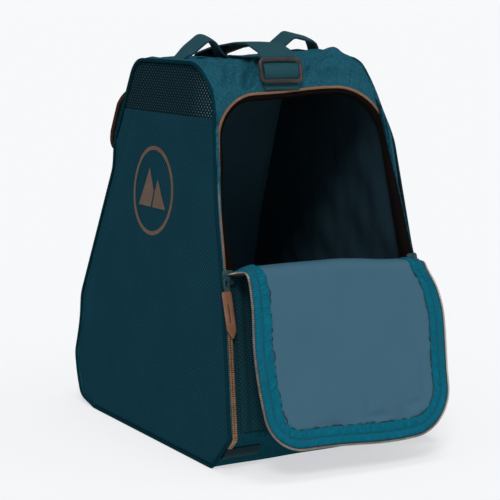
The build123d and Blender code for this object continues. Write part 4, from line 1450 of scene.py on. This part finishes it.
def end_tab(name):
    """Folded webbing sewn over the zip's lower end."""
    low, high = cad(f"zip_end_tab_{name}")
    x0, x1 = low[0], high[0]
    foot_y = PROFILE[FOOT][0]
    along = unit(np.array([0, TOE_Y - foot_y, TOE_Z]))
    out = np.array([0, -along[2], along[1]])
    origin = np.array([0, foot_y, 0.0])
    a, b = np.linspace(0, 1, 12)[:, None, None], np.linspace(0, 1, 20)[None, :, None]
    rise = 1.9 * np.sin(math.pi * (0.08 + 0.84 * a)) + 0.9
    P = origin + along * (17.5 + 17.0 * a) + out * rise + (x0 + (x1 - x0) * b) * (1, 0, 0)
    uv = np.stack([(P[..., 0] - x0), np.linspace(0, 17, 12)[:, None].repeat(20, 1)], -1)
    tab = sheet(f"zip_end_tab_{name}_webbing", P, uv, 1.4, WEBBING_DARK)
    attach(tab, "bag", "webbing", f"zip_end_tab_{name}")


for SIDE_SIGN, SIDE_NAME in SIDES:
    pull(SIDE_SIGN, SIDE_NAME)
    end_tab(SIDE_NAME)

# CAD pieces that are shown as they are, repainted
for CAD_NODE, CAD_PAINT in (("zip_slider_left", SLIDER), ("zip_slider_right", SLIDER),
                            ("base_board", BOARD)):
    SLOTS = frame["nodes"][CAD_NODE].data.materials
    SLOTS.clear()
    SLOTS.append(CAD_PAINT)


def side_x(y, z):
    """The left panel's outer x at a point, for things that lie on it."""
    return -(soft_half(y, z, -1) + panel_bulge(y, z, edge_distance(y, z), -1))


def badge():
    """A ring round two mountain peaks, printed flat on the left panel."""
    low, high = cad("side_badge")
    cy, cz = (low[1] + high[1]) / 2, (low[2] + high[2]) / 2
    radius = (high[2] - low[2]) / 2
    angle = np.linspace(0, math.tau, 97)
    rings = []
    for r in (radius, radius - 1.4, radius - 2.8, radius - 4.2):
        y, z = cy + r * np.cos(angle), cz + r * np.sin(angle)
        rings.append(np.stack([side_x(y, z) - 0.35, y, z], -1))
    P = np.stack(rings, 1)
    ring = sheet("side_badge_ring", P, P[..., 1:], 0.3, PRINT)
    attach(ring, "bag", "copper_print", "side_badge")
    base = cz - 17.0
    shapes = (((-30.0, 0.0), (-9.0, 40.0), (3.0, 17.0), (-2.0, 0.0)),
              ((1.5, 0.0), (6.0, 17.5), (11.0, 29.0), (30.0, 0.0)))
    for i, (a, b, c, d) in enumerate(shapes):
        s = np.linspace(0, 1, 14)
        left = np.array(a)[None] + (np.array(b) - a)[None] * s[:, None]
        right = np.array(d)[None] + (np.array(c) - d)[None] * s[:, None]
        k = np.linspace(0, 1, 12)
        grid = left[:, None] + (right - left)[:, None] * k[None, :, None]
        y, z = cy - grid[..., 0], base + grid[..., 1]
        P = np.stack([side_x(y, z) - 0.35, y, z], -1)
        peak = sheet(f"side_badge_peak_{i}", P, P[..., 1:], 0.3, PRINT)
        attach(peak, "bag", "copper_print")


badge()


# ---------------------------------------------------------------- floor, light and camera
FLOOR_REACH = 300.0


def towards(azimuth, elevation):
    """The direction from the bag to something at these angles, in degrees from straight ahead."""
    a, e = math.radians(azimuth), math.radians(elevation)
    return Vector((math.sin(a) * math.cos(e), -math.cos(a) * math.cos(e), math.sin(e)))


def studio():
    floor_mesh = bpy.data.meshes.new("floor")
    r = FLOOR_REACH
    floor_mesh.from_pydata([(-r, -r, 0), (r, -r, 0), (r, r, 0), (-r, r, 0)], [], [(0, 1, 2, 3)])
    paper = material_graph("floor_paper")
    paper.put(paper.shader, {"Base Color": (0.35, 0.35, 0.35), "Emission Color": (0.588, 0.595, 0.61),
                             "Emission Strength": 1.0, "Roughness": 0.9, "Specular IOR Level": 0.0})
    floor_mesh.materials.append(paper.owner)
    add_object("floor", floor_mesh)

    bpy.context.scene.world = bpy.data.worlds.new("studio")
    world = Graph(bpy.context.scene.world, "Background")
    seen = world.node("ShaderNodeLightPath")["Is Camera Ray"]
    lit, shown = (0.29, 0.30, 0.31), (0.9387, 0.9473, 0.9647)
    world.put(world.shader, {0: world.mix(seen, lit, shown), 1: 1.0})

    for name, azimuth, elevation, strength, spread in (
            ("key", -34.0, 46.0, 1.6, 18.0), ("fill", 30.0, 56.0, 0.5, 60.0),
            ("top", 10.0, 84.0, 0.6, 20.0)):
        light = bpy.data.lights.new(name, "SUN")
        light.energy, light.angle = strength, math.radians(spread)
        sun = add_object(name, light)
        sun.rotation_euler = towards(azimuth, elevation).to_track_quat("Z", "Y").to_euler()


studio()


def camera():
    """The photograph's viewing angle, from 1.69 m away."""
    back = towards(-30.0, 8.7)
    data = bpy.data.cameras.new("camera")
    data.lens, data.sensor_width = 115.2, 36.0
    data.clip_end = 100.0
    obj = add_object("camera", data)
    obj.location = Vector((-0.008, -0.0033, 0.188)) + back * 1.69
    obj.rotation_euler = back.to_track_quat("Z", "Y").to_euler()
    bpy.context.scene.camera = obj


camera()
bpy.context.scene.view_settings.view_transform = "Standard"
